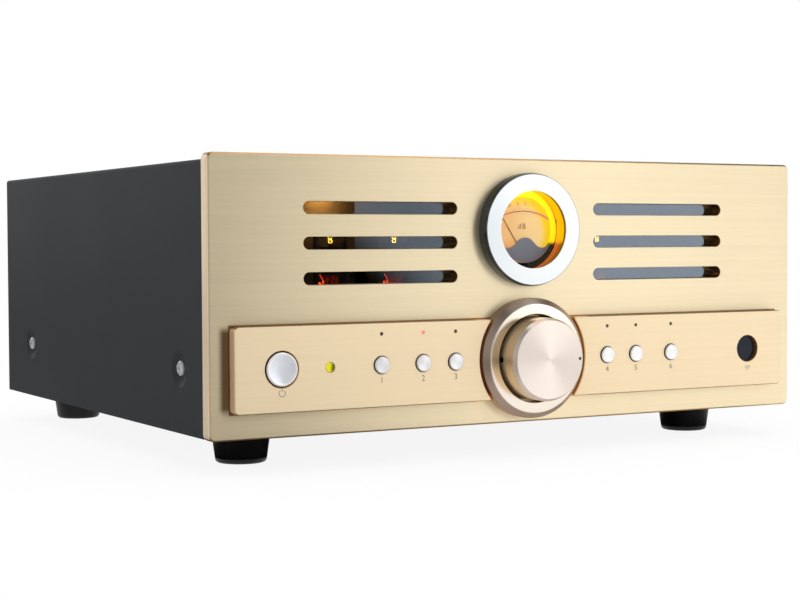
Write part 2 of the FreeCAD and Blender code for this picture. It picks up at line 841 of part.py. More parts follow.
def panel_screws():
    """Screws behind the faceplate, the pillars of the front board and the volume control's nut."""
    members = []
    head = size.screw_head_radius
    tray_side = FLANGE_SIDE - size.tab_width / 2
    tab_level = PANEL_BOTTOM + size.tab_screw_low
    tab_spacing = size.tab_screw_high - size.tab_screw_low
    strip_level = CONTROL_LINE - size.strip_screw_rise
    strip_spacing = 2 * size.strip_screw_rise
    lines = (
        ("tab_screws", tray_side, tab_level, size.sheet, 0, tab_spacing),
        ("strip_screws", size.strip_screw_across, strip_level, 0, size.panel_thickness, strip_spacing),
    )
    for name, place, level, packing, extra, spacing in lines:
        body = new_body(name, -place, PANEL_BACK + packing, level)
        tip = -(size.screw_grip + packing + extra)
        first = turn(body, [(0, tip), (size.screw_radius, tip), (size.screw_radius, 0), (head, 0),
                            (head, size.screw_head_height), (0, size.screw_head_height)])
        repeat(body, [first], [("X", 2 * place, 2), ("Z", spacing, 2)])
        members.append(body)
    ring = new_body("ring_screws", -size.ring_screw_across, PANEL_BACK, CONTROL_LINE)
    tip = -(size.screw_grip + size.panel_thickness)
    first = turn(ring, [(0, tip), (size.screw_radius, tip), (size.screw_radius, 0), (head, 0),
                        (head, size.screw_head_height), (0, size.screw_head_height)])
    repeat(ring, [first], [("X", 2 * size.ring_screw_across, 2)])
    pillars = new_body("board_pillars", -size.pillar_across, PANEL_BACK, CONTROL_LINE - size.pillar_rise)
    radius = size.pillar_radius
    first = turn(pillars, [(0, 0), (radius, 0), (radius, size.board_gap), (0, size.board_gap)])
    repeat(pillars, [first], [("X", 2 * size.pillar_across, 2), ("Z", 2 * size.pillar_rise, 2)])
    nut = new_body("control_nut", 0, FACE, CONTROL_LINE)
    hexagon = front_sketch(nut)
    across_corner = size.nut_radius
    flat = size.nut_radius * (math.sqrt(3) / 2)
    add_outline(hexagon, [(across_corner, 0), (across_corner / 2, flat), (-across_corner / 2, flat),
                          (-across_corner, 0), (-across_corner / 2, -flat), (across_corner / 2, -flat)])
    add_circle(hexagon, size.bushing_radius)
    pad(nut, hexagon, size.nut_height)
    return group("panel_screws", members + [ring, pillars, nut])


def knob_ring():
    """Machined ring round the knob: straight wall, wide bevel and a flat face."""
    body = new_body("knob_ring", 0, FACE, CONTROL_LINE)
    hole = size.ring_hole_radius
    rim = size.ring_hole_bevel
    turn(body, [(hole, 0), (size.ring_radius, 0), (size.ring_radius, -size.ring_shoulder),
                (size.ring_face_radius, -size.ring_proud), (hole + rim, -size.ring_proud),
                (hole, rim - size.ring_proud)])
    tapped = front_sketch(body)
    for side in (-1, 1):
        add_circle(tapped, size.screw_radius, side * size.ring_screw_across)
    pocket(body, tapped, size.screw_grip, flip=True)
    return body


def volume_knob():
    """Turned knob with a bevelled face, an index dot, a set screw hole and a blind shaft bore."""
    body = new_body("volume_knob", 0, FACE, CONTROL_LINE)
    face = -size.knob_proud
    seat = -size.knob_gap
    recess = seat - size.knob_recess_depth
    bore_end = recess - size.shaft_in_knob
    turn(body, [(0, bore_end), (size.shaft_radius, bore_end), (size.shaft_radius, recess),
                (size.knob_recess_radius, recess), (size.knob_recess_radius, seat),
                (size.knob_radius, seat), (size.knob_radius, face + size.knob_shoulder),
                (size.knob_radius - size.knob_bevel, face), (0, face)])
    dot = front_sketch(body, face)
    add_circle(dot, size.knob_dot_radius, size.knob_dot_across)
    pocket(body, dot, size.knob_dot_depth)
    set_screw = side_sketch(body)
    add_circle(set_screw, size.grub_radius, -size.grub_depth)
    pocket(body, set_screw)
    return body


def knob_set_screw():
    """Socket set screw that holds the knob on its shaft."""
    body = new_body("knob_set_screw", -size.shaft_radius, FACE - size.grub_depth, CONTROL_LINE)
    end = -size.grub_length
    turn(body, [(0, 0), (size.grub_radius, 0), (size.grub_radius, end), (0, end)], "X")
    socket = side_sketch(body, end)
    corner = size.grub_socket_radius
    flat = corner * (math.sqrt(3) / 2)
    add_outline(socket, [(corner, 0), (corner / 2, flat), (-corner / 2, flat),
                         (-corner, 0), (-corner / 2, -flat), (corner / 2, -flat)])
    pocket(body, socket, size.grub_socket_depth, flip=True)
    return body


def toothed_wheel(body, teeth, start, opposite):
    """Spur wheel with straight-flanked teeth; its first tooth points up, or a gap points down."""
    pitch = size.gear_module * teeth / 2
    root = pitch - size.tooth_dedendum * size.gear_module
    tip = pitch + size.tooth_addendum * size.gear_module
    lean = math.tan(math.radians(20))
    half = (size.gear_module * (math.pi / 2) - size.tooth_backlash) / 2
    half_root = half + size.tooth_dedendum * size.gear_module * lean
    half_tip = half - size.tooth_addendum * size.gear_module * lean
    disc = front_sketch(body, start)
    add_circle(disc, root)
    pad(body, disc, size.gear_width, flip=True)
    tooth = front_sketch(body, start)
    foot = root - size.gear_module
    add_outline(tooth, [(-half_root, foot), (half_root, foot), (half_root, root), (half_tip, tip),
                        (-half_tip, tip), (-half_root, root)])
    if opposite:
        bind(tooth, "AttachmentOffset.Rotation.Angle", 180 + 180 / teeth)
    first = pad(body, tooth, size.gear_width, flip=True)
    ring_of(body, [first], teeth)


def volume_shaft():
    """Steel shaft of the volume control with the wheel that the motor drives."""
    body = new_body("volume_shaft", 0, FACE, CONTROL_LINE)
    start = -(size.knob_gap + size.knob_recess_depth + size.shaft_in_knob)
    wheel_front = size.panel_thickness + size.pot_depth + size.gear_gap
    rear = wheel_front + size.gear_width
    turn(body, [(0, start), (size.shaft_radius, start), (size.shaft_radius, rear), (0, rear)])
    toothed_wheel(body, size.gear_teeth, wheel_front, False)
    return body


def motor_rise():
    """Distance between the shafts of the control and of the motor."""
    return size.gear_module * (size.gear_teeth + size.pinion_teeth) / 2


def motor_pinion():
    """Motor's pinion on its own shaft, in mesh with the wheel below it."""
    body = new_body("motor_pinion", 0, FACE, CONTROL_LINE + motor_rise())
    wheel_front = size.panel_thickness + size.pot_depth + size.gear_gap
    rear = wheel_front + size.gear_width + size.gear_gap + size.gear_plate + size.motor_shaft_length
    radius = size.motor_shaft_radius
    turn(body, [(0, wheel_front), (radius, wheel_front), (radius, rear), (0, rear)])
    toothed_wheel(body, size.pinion_teeth, wheel_front, True)
    return body


def volume_pot():
    """Volume control: square case behind the faceplate and a bushing through it."""
    body = new_body("volume_pot", 0, FACE, CONTROL_LINE)
    half = size.pot_side / 2
    case = front_sketch(body, size.panel_thickness)
    add_rectangle(case, -half, -half, half, half)
    pad(body, case, size.pot_depth, flip=True)
    bevel_edges(body, size.button_flange, lambda edge: runs_along(edge, "y"))
    bushing = front_sketch(body, size.panel_thickness)
    add_circle(bushing, size.bushing_radius)
    pad(body, bushing, size.panel_thickness + size.bushing_proud)
    bore = front_sketch(body, -size.bushing_proud)
    add_circle(bore, size.shaft_radius + size.running_gap)
    pocket(body, bore)
    return body


def volume_motor():
    """Motor on a plate that two posts hold behind the volume control."""
    body = new_body("volume_motor", 0, PANEL_BACK + size.pot_depth, CONTROL_LINE)
    gap = 2 * size.gear_gap + size.gear_width
    half = size.pot_side / 2
    plate = front_sketch(body, gap)
    add_rectangle(plate, -half, -half, half, motor_rise() + size.motor_radius)
    pad(body, plate, size.gear_plate, flip=True)
    posts = front_sketch(body)
    for side in (-1, 1):
        add_circle(posts, size.gear_post_radius, side * size.gear_post_across, -size.gear_post_across)
    pad(body, posts, gap, flip=True)
    motor = front_sketch(body, gap + size.gear_plate)
    add_circle(motor, size.motor_radius, 0, motor_rise())
    pad(body, motor, size.motor_length, flip=True)
    bore = front_sketch(body, gap)
    add_circle(bore, size.motor_shaft_radius + size.running_gap, 0, motor_rise())
    pocket(body, bore, size.gear_plate + size.motor_shaft_length + size.plunger_gap)
    return body


def meter_bezel():
    """Polished ring with a lip over the glass and a spigot into the faceplate."""
    body = new_body("meter_bezel", 0, FACE, METER_LINE)
    seat = size.housing_radius + size.spigot_gap
    glass_front = size.window_lip - size.bezel_proud
    turn(body, [(size.window_radius, -size.bezel_proud), (size.window_radius, glass_front),
                (seat, glass_front), (seat, size.bezel_spigot_length),
                (size.bezel_spigot_radius, size.bezel_spigot_length),
                (size.bezel_spigot_radius, 0), (size.bezel_radius, 0),
                (size.bezel_radius, size.bezel_shoulder - size.bezel_proud),
                (size.bezel_radius - size.bezel_bevel, -size.bezel_proud)])
    return body


def meter_glass():
    """Flat glass behind the bezel's lip."""
    body = new_body("meter_glass", 0, FACE + size.window_lip - size.bezel_proud, METER_LINE)
    turn(body, [(0, 0), (size.housing_radius, 0), (size.housing_radius, size.glass_thickness),
                (0, size.glass_thickness)])
    return body


def meter_housing():
    """Amber see-through can of the meter, closed at the rear."""
    body = new_body("meter_housing", 0, FACE, METER_LINE)
    front = size.window_lip + size.glass_thickness - size.bezel_proud
    inside = size.housing_radius - size.housing_wall
    floor = size.housing_depth - size.housing_wall
    turn(body, [(inside, front), (size.housing_radius, front), (size.housing_radius, size.housing_depth),
                (0, size.housing_depth), (0, floor), (inside, floor)])
    return body


def meter_dial():
    """Thin lit scale plate on the movement, with a hole for the needle's hub."""
    body = new_body("meter_dial", 0, FACE + size.dial_depth, METER_LINE)
    disc = front_sketch(body)
    add_circle(disc, size.dial_radius)
    add_circle(disc, size.dial_hole_radius, 0, -size.needle_pivot)
    pad(body, disc, size.dial_thickness, flip=True)
    return body


def meter_mask():
    """Grey apron on two posts in front of the dial's foot, with one wave along its top."""
    body = new_body("meter_mask", 0, FACE + size.mask_depth, METER_LINE)
    rim = size.dial_radius
    fall = size.mask_low - size.mask_top
    bend = (size.mask_low_across * size.mask_low_across + fall * fall) / (4 * fall)
    wave = front_sketch(body)
    up_vector = FreeCAD.Vector(0, 0, 1)
    centres = [(-size.mask_low_across, bend - size.mask_low), (0, -size.mask_top - bend),
               (size.mask_low_across, bend - size.mask_low)]
    join_across = number(size.mask_low_across) / 2
    join_up = -(number(size.mask_top) + number(size.mask_low)) / 2
    lean = math.atan2(join_up - number(centres[1][1]), join_across)
    side = number(size.mask_side_across) - number(size.mask_low_across)
    side_lean = math.acos(side / number(bend))
    spans = [(-math.pi / 2 - (math.pi / 2 - side_lean), -lean), (lean, math.pi - lean),
             (math.pi + lean, -math.pi / 2 + (math.pi / 2 - side_lean) + 2 * math.pi)]
    for centre, (start, end) in zip(centres, spans):
        circle = Part.Circle(spot(*centre), up_vector, number(bend))
        wave.addGeometry(Part.ArcOfCircle(circle, start, end), False)
    left_top = wave.Geometry[0].StartPoint
    right_top = wave.Geometry[2].EndPoint
    left_low = FreeCAD.Vector(left_top.x, -number(rim), 0)
    right_low = FreeCAD.Vector(right_top.x, -number(rim), 0)
    for start, end in ((left_top, left_low), (left_low, right_low), (right_low, right_top)):
        wave.addGeometry(Part.LineSegment(start, end), False)
    for element, centre in enumerate(centres):
        hold_point(wave, element, CENTRE, *centre)
    wave.addConstraint(Sketcher.Constraint("Tangent", 0, END, 1, END))
    wave.addConstraint(Sketcher.Constraint("Tangent", 1, START, 2, START))
    for first, first_end, second, second_end in ((0, START, 3, START), (3, END, 4, START), (4, END, 5, START),
                                                 (5, END, 2, END)):
        wave.addConstraint(Sketcher.Constraint("Coincident", first, first_end, second, second_end))
    hold_point(wave, 3, END, -size.mask_side_across, -rim)
    hold_point(wave, 4, END, size.mask_side_across, -rim)
    wave.addConstraint(Sketcher.Constraint("Vertical", 3))
    wave.addConstraint(Sketcher.Constraint("Vertical", 5))
    rule = wave.addConstraint(Sketcher.Constraint("Radius", 1, number(bend)))
    bind(wave, f"Constraints[{rule}]", bend)
    pad(body, wave, size.mask_thickness, flip=True)
    trim = front_sketch(body)
    add_circle(trim, rim)
    add_circle(trim, 2 * rim)
    pocket(body, trim)
    posts = front_sketch(body)
    for side in (-1, 1):
        add_circle(posts, size.mask_post_radius, side * size.mask_post_across, -size.mask_post_drop)
    pad(body, posts, size.dial_depth - size.mask_depth, flip=True)
    return body


def meter_needle():
    """Needle with a short tail on a hub that turns in the movement."""
    body = new_body("meter_needle", 0, FACE + size.needle_depth, METER_LINE - size.needle_pivot)
    body.Placement.Rotation = FreeCAD.Rotation(FreeCAD.Vector(0, 1, 0), number(size.needle_angle))
    bind(body, "Placement.Rotation.Angle", size.needle_angle)
    blade = front_sketch(body)
    root = size.needle_root / 2
    tip = size.needle_tip / 2
    add_outline(blade, [(-root, -size.needle_tail), (root, -size.needle_tail), (tip, size.needle_length),
                        (-tip, size.needle_length)])
    pad(body, blade, size.needle_thickness, flip=True)
    hub = front_sketch(body)
    add_circle(hub, size.needle_hub_radius)
    reach = size.dial_depth - size.needle_depth + size.dial_thickness + size.needle_hub_reach
    pad(body, hub, reach, flip=True)
    return body


def meter_movement():
    """Round moving-coil movement behind the dial, with the bore of the needle's hub."""
    body = new_body("meter_movement", 0, FACE + size.dial_depth + size.dial_thickness, METER_LINE)
    core = front_sketch(body)
    add_circle(core, size.movement_radius, 0, -size.movement_drop)
    depth = size.housing_depth - size.housing_wall - size.dial_depth - size.dial_thickness
    pad(body, core, depth, flip=True)
    bore = front_sketch(body)
    add_circle(bore, size.needle_hub_radius + size.running_gap, 0, -size.needle_pivot)
    pocket(body, bore, size.needle_hub_reach + size.plunger_gap)
    return body


def meter_lamp():
    """Two lamps on a small board at the back of the meter."""
    floor = size.housing_depth - size.housing_wall
    body = new_body("meter_lamp", 0, FACE + floor, METER_LINE + size.lamp_rise)
    half = size.lamp_board_width / 2
    strip = front_sketch(body)
    add_rectangle(strip, -half, -size.lamp_board_height / 2, half, size.lamp_board_height / 2)
    pad(body, strip, size.board)
    lamps = front_sketch(body, -size.board)
    for side in (-1, 1):
        add_circle(lamps, size.lamp_radius, side * size.lamp_across)
    pad(body, lamps, size.lamp_length)
    return body


def slot_windows():
    """Two tinted panes against the back of the faceplate, one behind each set of slots."""
    width = size.slot_length + 2 * size.pane_margin
    height = 2 * size.slot_pitch + size.slot_height + 2 * size.pane_margin
    level = PANEL_BOTTOM + size.slot_rise - height / 2
    thickness = size.pane_thickness
    panes = []
    for side in (-1, 1):
        left = side * size.slot_across - width / 2
        panes.append(box(f"pane_{side_name(side)}", left, PANEL_BACK, level, width, thickness, height))
    return group("slot_windows", panes)


def power_button():
    """Dished power button, kept in by a flange behind the faceplate."""
    body = new_body("power_button", -POWER_ACROSS, FACE, CONTROL_LINE)
    front = -(size.strip_thickness + size.power_proud)
    flange_front = size.panel_thickness + size.light_gap
    flange_rear = flange_front + size.button_flange_height
    tip = size.panel_thickness + size.board_gap + size.board + size.plunger_reach
    cap = size.power_radius
    stem = size.power_stem_radius
    turn(body, [(0, front + size.power_dish), (cap - size.power_rim, front + size.power_dish / 4),
                (cap - size.power_rim / 2, front), (cap, front + size.power_rim / 2), (cap, flange_front),
                (cap + size.button_flange, flange_front), (cap + size.button_flange, flange_rear),
                (stem, flange_rear), (stem, tip), (0, tip)])
    return body


def power_switch():
    """Mains push switch on the back of the front board."""
    half = size.power_switch_width / 2
    body = new_body("power_switch", -POWER_ACROSS, BOARD_FRONT + size.board, CONTROL_LINE)
    case = front_sketch(body)
    add_rectangle(case, -half, -half, half, half)
    pad(body, case, size.power_switch_depth, flip=True)
    bore = front_sketch(body)
    add_circle(bore, size.power_stem_radius + size.running_gap)
    pocket(body, bore, size.plunger_reach + size.power_travel + size.plunger_gap)
    return body


def power_led():
    """Round power light: a domed lens on a pipe from the front board."""
    body = new_body("power_led", -LAMP_ACROSS, FACE, CONTROL_LINE)
    front = -(size.strip_thickness + size.lamp_light_proud)
    rear = size.panel_thickness + size.board_gap
    turn(body, [(0, front), (size.lamp_light_radius, front), (size.lamp_light_radius, rear), (0, rear)])
    dome = size.lamp_light_proud + size.light_gap
    round_edges(body, dome, lambda edge: is_ring(edge, size.lamp_light_radius) and lies_at(edge, "y", front))
    return body


def source_place(index):
    """Place of a source button from the middle, counted from the left."""
    order = (-SOURCES[2], -SOURCES[1], -SOURCES[0], SOURCES[0], SOURCES[1], SOURCES[2])
    return order[index]


def source_button(index):
    """Small round source button with its stem and the plunger of its switch."""
    body = new_body(f"source_button_{index + 1}", source_place(index), FACE, CONTROL_LINE)
    front = -(size.strip_thickness + size.source_proud)
    flange_front = size.panel_thickness + size.light_gap
    flange_rear = flange_front + size.button_flange_height
    shoulder = size.panel_thickness + size.board_gap - size.tact_depth - size.source_travel - size.light_gap
    tip = size.panel_thickness + size.board_gap - size.tact_depth + size.plunger_reach
    cap = size.source_radius
    turn(body, [(0, front), (cap - size.source_bevel, front), (cap, front + size.source_bevel),
                (cap, flange_front), (cap + size.button_flange, flange_front),
                (cap + size.button_flange, flange_rear),
                (size.source_stem_radius, flange_rear), (size.source_stem_radius, shoulder),
                (size.source_plunger_radius, shoulder), (size.source_plunger_radius, tip), (0, tip)])
    return body


def source_switches():
    """Six small push switches on the front board, each with a bore for its plunger."""
    switches = []
    half = size.tact_side / 2
    front = BOARD_FRONT - size.tact_depth
    for index in range(6):
        body = new_body(f"push_switch_{index + 1}", source_place(index), front, CONTROL_LINE)
        case = front_sketch(body)
        add_rectangle(case, -half, -half, half, half)
        pad(body, case, size.tact_depth, flip=True)
        bore = front_sketch(body)
        add_circle(bore, size.source_plunger_radius + size.running_gap)
        pocket(body, bore, size.plunger_reach + size.source_travel + size.light_gap)
        switches.append(body)
    return group("source_switches", switches)


def source_leds():
    """Six small round lights above the source buttons, on pipes from the front board."""
    lights = []
    front = size.indicator_recess - size.strip_thickness
    rear = size.panel_thickness + size.board_gap
    for index in range(6):
        body = new_body(f"light_{index + 1}", source_place(index), FACE, CONTROL_LINE + size.indicator_rise)
        turn(body, [(0, front), (size.indicator_radius, front), (size.indicator_radius, rear), (0, rear)])
        lights.append(body)
    return group("source_leds", lights)


def front_board():
    """Board behind the faceplate for switches and lights, with the remote control's receiver on it."""
    body = new_body("board_plate", 0, BOARD_FRONT, CONTROL_LINE)
    half = size.front_board_half_height
    plate = front_sketch(body)
    add_rectangle(plate, -FRONT_BOARD_END, -half, FRONT_BOARD_END, half)
    pad(body, plate, size.board, flip=True)
    openings = front_sketch(body)
    notch = size.front_board_notch / 2
    add_rectangle(openings, -notch, -notch, notch, notch)
    add_circle(openings, size.power_stem_radius + size.light_gap, -POWER_ACROSS)
    pocket(body, openings)
    eye = new_body("remote_receiver", POWER_ACROSS, BOARD_FRONT - size.sensor_eye_depth, CONTROL_LINE)
    turn(eye, [(0, 0), (size.sensor_eye_radius, 0), (size.sensor_eye_radius, size.sensor_eye_depth),
               (0, size.sensor_eye_depth)])
    return group("front_board", [body, eye])


def remote_lens():
    """Dark round window of the remote control's receiver, set back in the strip."""
    body = new_body("remote_lens", POWER_ACROSS, FACE, CONTROL_LINE)
    front = size.sensor_recess - size.strip_thickness
    turn(body, [(0, front), (size.sensor_radius, front), (size.sensor_radius, 0), (0, 0)])
    return body


def chassis_base():
    """Folded tray: floor, side flanges, front tabs, rear lip, vents and the pillars clinched in it."""
    body = new_body("chassis_base", 0, FACE, size.foot_height)
    side = FLANGE_SIDE
    inner = side - size.sheet
    front = size.panel_thickness
    depth = size.case_depth - size.sheet - front
    profile = front_sketch(body, front)
    add_outline(profile, [(-side, 0), (side, 0), (side, size.flange_height), (inner, size.flange_height),
                          (inner, size.sheet), (-inner, size.sheet), (-inner, size.flange_height),
                          (-side, size.flange_height)])
    pad(body, profile, depth, flip=True)
    tabs = front_sketch(body, front)
    for hand in (-1, 1):
        add_rectangle(tabs, hand * (side - size.tab_width), size.sheet, hand * inner, size.flange_height)
    pad(body, tabs, size.sheet, flip=True)
    lip = front_sketch(body, front + depth)
    add_rectangle(lip, -inner, size.sheet, inner, size.lip_height)
    pad(body, lip, size.sheet)
    tall = plan_sketch(body, size.sheet)
    inset = size.tube_pillar_inset
    board_front = size.tube_back - size.tube_board_depth / 2 + inset
    board_rear = size.tube_back + size.tube_board_depth / 2 - inset
    for hand in (-1, 1):
        for across in (size.tube_board_inner + inset, size.tube_board_outer - inset):
            for back in (board_front, board_rear):
                add_circle(tall, size.pillar_radius, hand * across, back)
    pad(body, tall, tube_board_level() - FLOOR)
    short = plan_sketch(body, size.sheet)
    inset = size.main_pillar_inset
    for hand in (-1, 1):
        for back in (size.main_board_front + inset, size.main_board_front + size.main_board_depth - inset):
            add_circle(short, size.pillar_radius, hand * (size.main_board_width / 2 - inset), back)
    pad(body, short, size.main_pillar)
    holes = plan_sketch(body, size.sheet)
    for hand in (-1, 1):
        for back in (size.foot_front, FOOT_REAR):
            add_circle(holes, size.case_screw_radius, hand * FOOT_ACROSS, back)
    add_circle(holes, size.clamp_bolt_radius, size.core_across, CORE_BACK)
    pocket(body, holes)
    for hand in (-1, 1):
        vent = plan_sketch(body, size.sheet)
        across = hand * size.floor_vent_across
        add_slot(vent, across, size.floor_vent_back, size.floor_vent_length, size.vent_width)
        first = pocket(body, vent)
        repeat(body, [first], [("Y", size.vent_pitch, size.floor_vent_count)])
    bores = side_sketch(body, -side)
    for back in (size.dimple_front, DIMPLE_REAR):
        add_circle(bores, size.case_screw_radius, back, size.dimple_rise - size.panel_skirt)
    pocket(body, bores, flip=True)
    tapped = front_sketch(body, front)
    for hand in (-1, 1):
        across = hand * (side - size.tab_width / 2)
        for level in (size.tab_screw_low, size.tab_screw_high):
            add_circle(tapped, size.screw_radius, across, level - size.panel_skirt)
    pocket(body, tapped, size.sheet)
    return body


def tube_board_level():
    """Underside of the tube boards above the floor that the object stands on."""
    return PANEL_BOTTOM + size.tube_board_rise


def rear_panel():
    """Steel rear plate with a cut-out for each socket."""
    body = new_body("rear_panel", 0, REAR_FACE, size.foot_height)
    plate = front_sketch(body)
    height = CASE_TOP - size.cover_sheet - size.foot_height
    add_rectangle(plate, -COVER_INSIDE, 0, COVER_INSIDE, height)
    pad(body, plate, size.sheet)
    round_edges(body, size.cover_bend, lambda edge: runs_along(edge, "y") and lies_at(edge, "z", height))
    base = size.foot_height
    holes = front_sketch(body, -size.sheet)
    for channel in (0, 1):
        for post in (0, 1):
            across = POST_ACROSS + channel * size.post_channel_pitch + post * size.post_pair_pitch
            add_circle(holes, size.post_bush_radius + size.socket_hole_gap, across, size.post_rise - base)
    left = INLET_ACROSS - size.inlet_body_width / 2
    right = INLET_ACROSS + size.inlet_body_width / 2
    add_rectangle(holes, left, size.inlet_rise - size.inlet_body_low - base, right,
                  size.inlet_rise + size.inlet_body_high - base)
    for side in (-1, 1):
        across = INLET_ACROSS + side * size.inlet_screw_across
        add_circle(holes, size.screw_radius, across, size.inlet_rise - base)
    level = size.data_rise - base
    half = size.data_width / 2
    add_rectangle(holes, DATA_ACROSS - half, level - size.data_height / 2, DATA_ACROSS + half,
                  level + size.data_height / 2)
    pocket(body, holes)
    jack = front_sketch(body, -size.sheet)
    add_circle(jack, size.jack_tail_radius + size.socket_hole_gap, JACK_ACROSS, size.jack_rise - base)
    first = pocket(body, jack)
    repeat(body, [first], [("X", size.jack_pitch, size.jack_pairs), ("Z", size.jack_row_pitch, 2)])
    return body


def top_cover():
    """Folded cover: top and both sides in one sheet, with pressed dimples and rows of vents."""
    body = new_body("top_cover", 0, FACE, 0)
    inner_top = CASE_TOP - size.cover_sheet
    foot = size.foot_height
    profile = front_sketch(body, size.panel_thickness)
    add_outline(profile, [(-COVER_SIDE, foot), (-COVER_SIDE, CASE_TOP), (COVER_SIDE, CASE_TOP),
                          (COVER_SIDE, foot), (COVER_INSIDE, foot), (COVER_INSIDE, inner_top),
                          (-COVER_INSIDE, inner_top), (-COVER_INSIDE, foot)])
    pad(body, profile, size.case_depth - size.panel_thickness, flip=True)
    round_edges(body, size.cover_bend, lambda edge: runs_along(edge, "y") and lies_at(edge, "z", CASE_TOP))
    inner_bend = size.cover_bend - size.cover_sheet
    round_edges(body, inner_bend, lambda edge: runs_along(edge, "y") and lies_at(edge, "z", inner_top))
    level = PANEL_BOTTOM + size.dimple_rise
    for side in (-1, 1):
        skin = side * (COVER_SIDE - size.cover_sheet / 2)
        inside = side * COVER_INSIDE
        outside = side * COVER_SIDE
        press = side * size.dimple_depth
        flat = size.dimple_radius - size.dimple_slope
        inner_flat = size.dimple_inner_radius - size.dimple_slope
        cup = [(skin, 0), (skin, size.dimple_inner_radius), (inside, size.dimple_inner_radius),
               (inside - press, inner_flat), (inside - press, 0)]
        hollow = [(outside, 0), (outside, size.dimple_radius), (outside - press, flat), (outside - press, 0)]
        bore = [(outside, 0), (outside, size.case_screw_radius), (inside - press, size.case_screw_radius),
                (inside - press, 0)]
        pressed = [turn_about(body, "Revolution", cup, size.dimple_front, level),
                   turn_about(body, "Groove", hollow, size.dimple_front, level),
                   turn_about(body, "Groove", bore, size.dimple_front, level)]
        repeat(body, pressed, [("Y", DIMPLE_REAR - size.dimple_front, 2)])
    reach = size.vent_pitch * (size.vent_count - 1) / 2
    fields = ((size.front_vent_back, size.front_vent_length), (size.rear_vent_back, size.rear_vent_length))
    for back, length in fields:
        vent = plan_sketch(body, CASE_TOP)
        add_slot(vent, -reach, back, length, size.vent_width, upright=True)
        first = pocket(body, vent, size.cover_sheet)
        repeat(body, [first], [("X", size.vent_pitch, size.vent_count)])
    return body


def cross_recess(body, sketch, depth, flip):
    """Cross-shaped driver recess."""
    narrow = size.cross_width / 2
    reach = size.cross_reach
    add_outline(sketch, [(reach, -narrow), (reach, narrow), (narrow, narrow), (narrow, reach),
                         (-narrow, reach), (-narrow, narrow), (-reach, narrow), (-reach, -narrow),
                         (-narrow, -narrow), (-narrow, -reach), (narrow, -reach), (narrow, -narrow)])
    return pocket(body, sketch, depth, flip)


def case_screws():
    """Pan-head screws: two in each side of the cover and one up through each foot."""
    members = []
    head = size.case_screw_head_radius
    height = size.case_screw_head_height
    shank = size.case_screw_radius
    spacing = DIMPLE_REAR - size.dimple_front
    for side in (-1, 1):
        seat = side * (COVER_SIDE - size.dimple_depth)
        level = PANEL_BOTTOM + size.dimple_rise
        body = new_body(f"side_screws_{side_name(side)}", seat, FACE + size.dimple_front, level)
        top = side * height
        brow = side * (height / 2)
        tip = -side * size.case_screw_length
        first = turn(body, [(0, tip), (shank, tip), (shank, 0), (head, 0), (head, brow),
                            (head - size.case_screw_head_bevel, top), (0, top)], "X")
        recess = cross_recess(body, side_sketch(body, top), size.cross_depth, side < 0)
        repeat(body, [first, recess], [("Y", spacing, 2)])
        members.append(body)
    seat = size.foot_bore_depth
    feet = new_body("foot_screws", -FOOT_ACROSS, FACE + size.foot_front, seat)
    tip = size.foot_height - size.foot_bore_depth + size.case_screw_length
    first = turn(feet, [(0, -height), (head, -height), (head, 0), (shank, 0), (shank, tip), (0, tip)], "Z")
    repeat(feet, [first], [("X", 2 * FOOT_ACROSS, 2), ("Y", FOOT_REAR - size.foot_front, 2)])
    seat = REAR_FACE + size.inlet_flange_thickness
    inlet = new_body("inlet_screws", INLET_ACROSS - size.inlet_screw_across, seat, size.inlet_rise)
    tip = -(size.inlet_flange_thickness + size.sheet + size.screw_radius)
    head = size.screw_head_radius
    height = size.screw_head_height
    shank = size.screw_radius
    first = turn(inlet, [(0, tip), (shank, tip), (shank, 0), (head, 0), (head, height / 2),
                         (head - height / 2, height), (0, height)])
    recess = cross_recess(inlet, front_sketch(inlet, height), size.cross_depth, True)
    repeat(inlet, [first, recess], [("X", 2 * size.inlet_screw_across, 2)])
    return group("case_screws", members + [feet, inlet])


def foot(side, depth, name):
    """Moulded foot: a tapered puck with a rounded rim and a counterbore for its screw."""
    body = new_body(f"foot_{name}_{side_name(side)}", side * FOOT_ACROSS, FACE + depth, 0)
    bore = size.foot_bore_radius
    turn(body, [(bore, 0), (size.foot_bottom_radius, 0), (size.foot_radius, size.foot_height),
                (size.case_screw_radius, size.foot_height), (size.case_screw_radius, size.foot_bore_depth),
                (bore, size.foot_bore_depth)], "Z")
    round_edges(body, size.foot_round, lambda edge: is_ring(edge, size.foot_bottom_radius))
    return body


def power_transformer():
    """Ring-core mains transformer with its windings wrapped."""
    body = new_body("power_transformer", size.core_across, FACE + CORE_BACK, FLOOR)
    inner = size.core_hole_radius
    outer = size.core_radius
    turn(body, [(inner, 0), (outer, 0), (outer, size.core_height), (inner, size.core_height)], "Z")
    round_edges(body, size.core_round, lambda edge: is_ring(edge, outer))
    return body


def transformer_plate():
    """Round clamp plate over the transformer, with its bolt through the floor."""
    body = new_body("transformer_plate", size.core_across, FACE + CORE_BACK, size.foot_height)
    seat = size.sheet + size.core_height
    top = seat + size.clamp_thickness
    bolt = size.clamp_bolt_radius
    nut_top = top + size.clamp_nut_height
    turn(body, [(0, 0), (bolt, 0), (bolt, seat), (size.clamp_radius, seat), (size.clamp_radius, top),
                (size.clamp_nut_radius, top), (size.clamp_nut_radius, nut_top), (0, nut_top)], "Z")
    return body


def tube_board():
    """Two raised boards, one for each pair of tubes."""
    depth = size.tube_board_depth
    width = size.tube_board_outer - size.tube_board_inner
    front = FACE + size.tube_back - depth / 2
    level = tube_board_level()
    left = box("tube_board_left", -size.tube_board_outer, front, level, width, depth, size.board)
    right = box("tube_board_right", size.tube_board_inner, front, level, width, depth, size.board)
    return group("tube_board", [left, right])


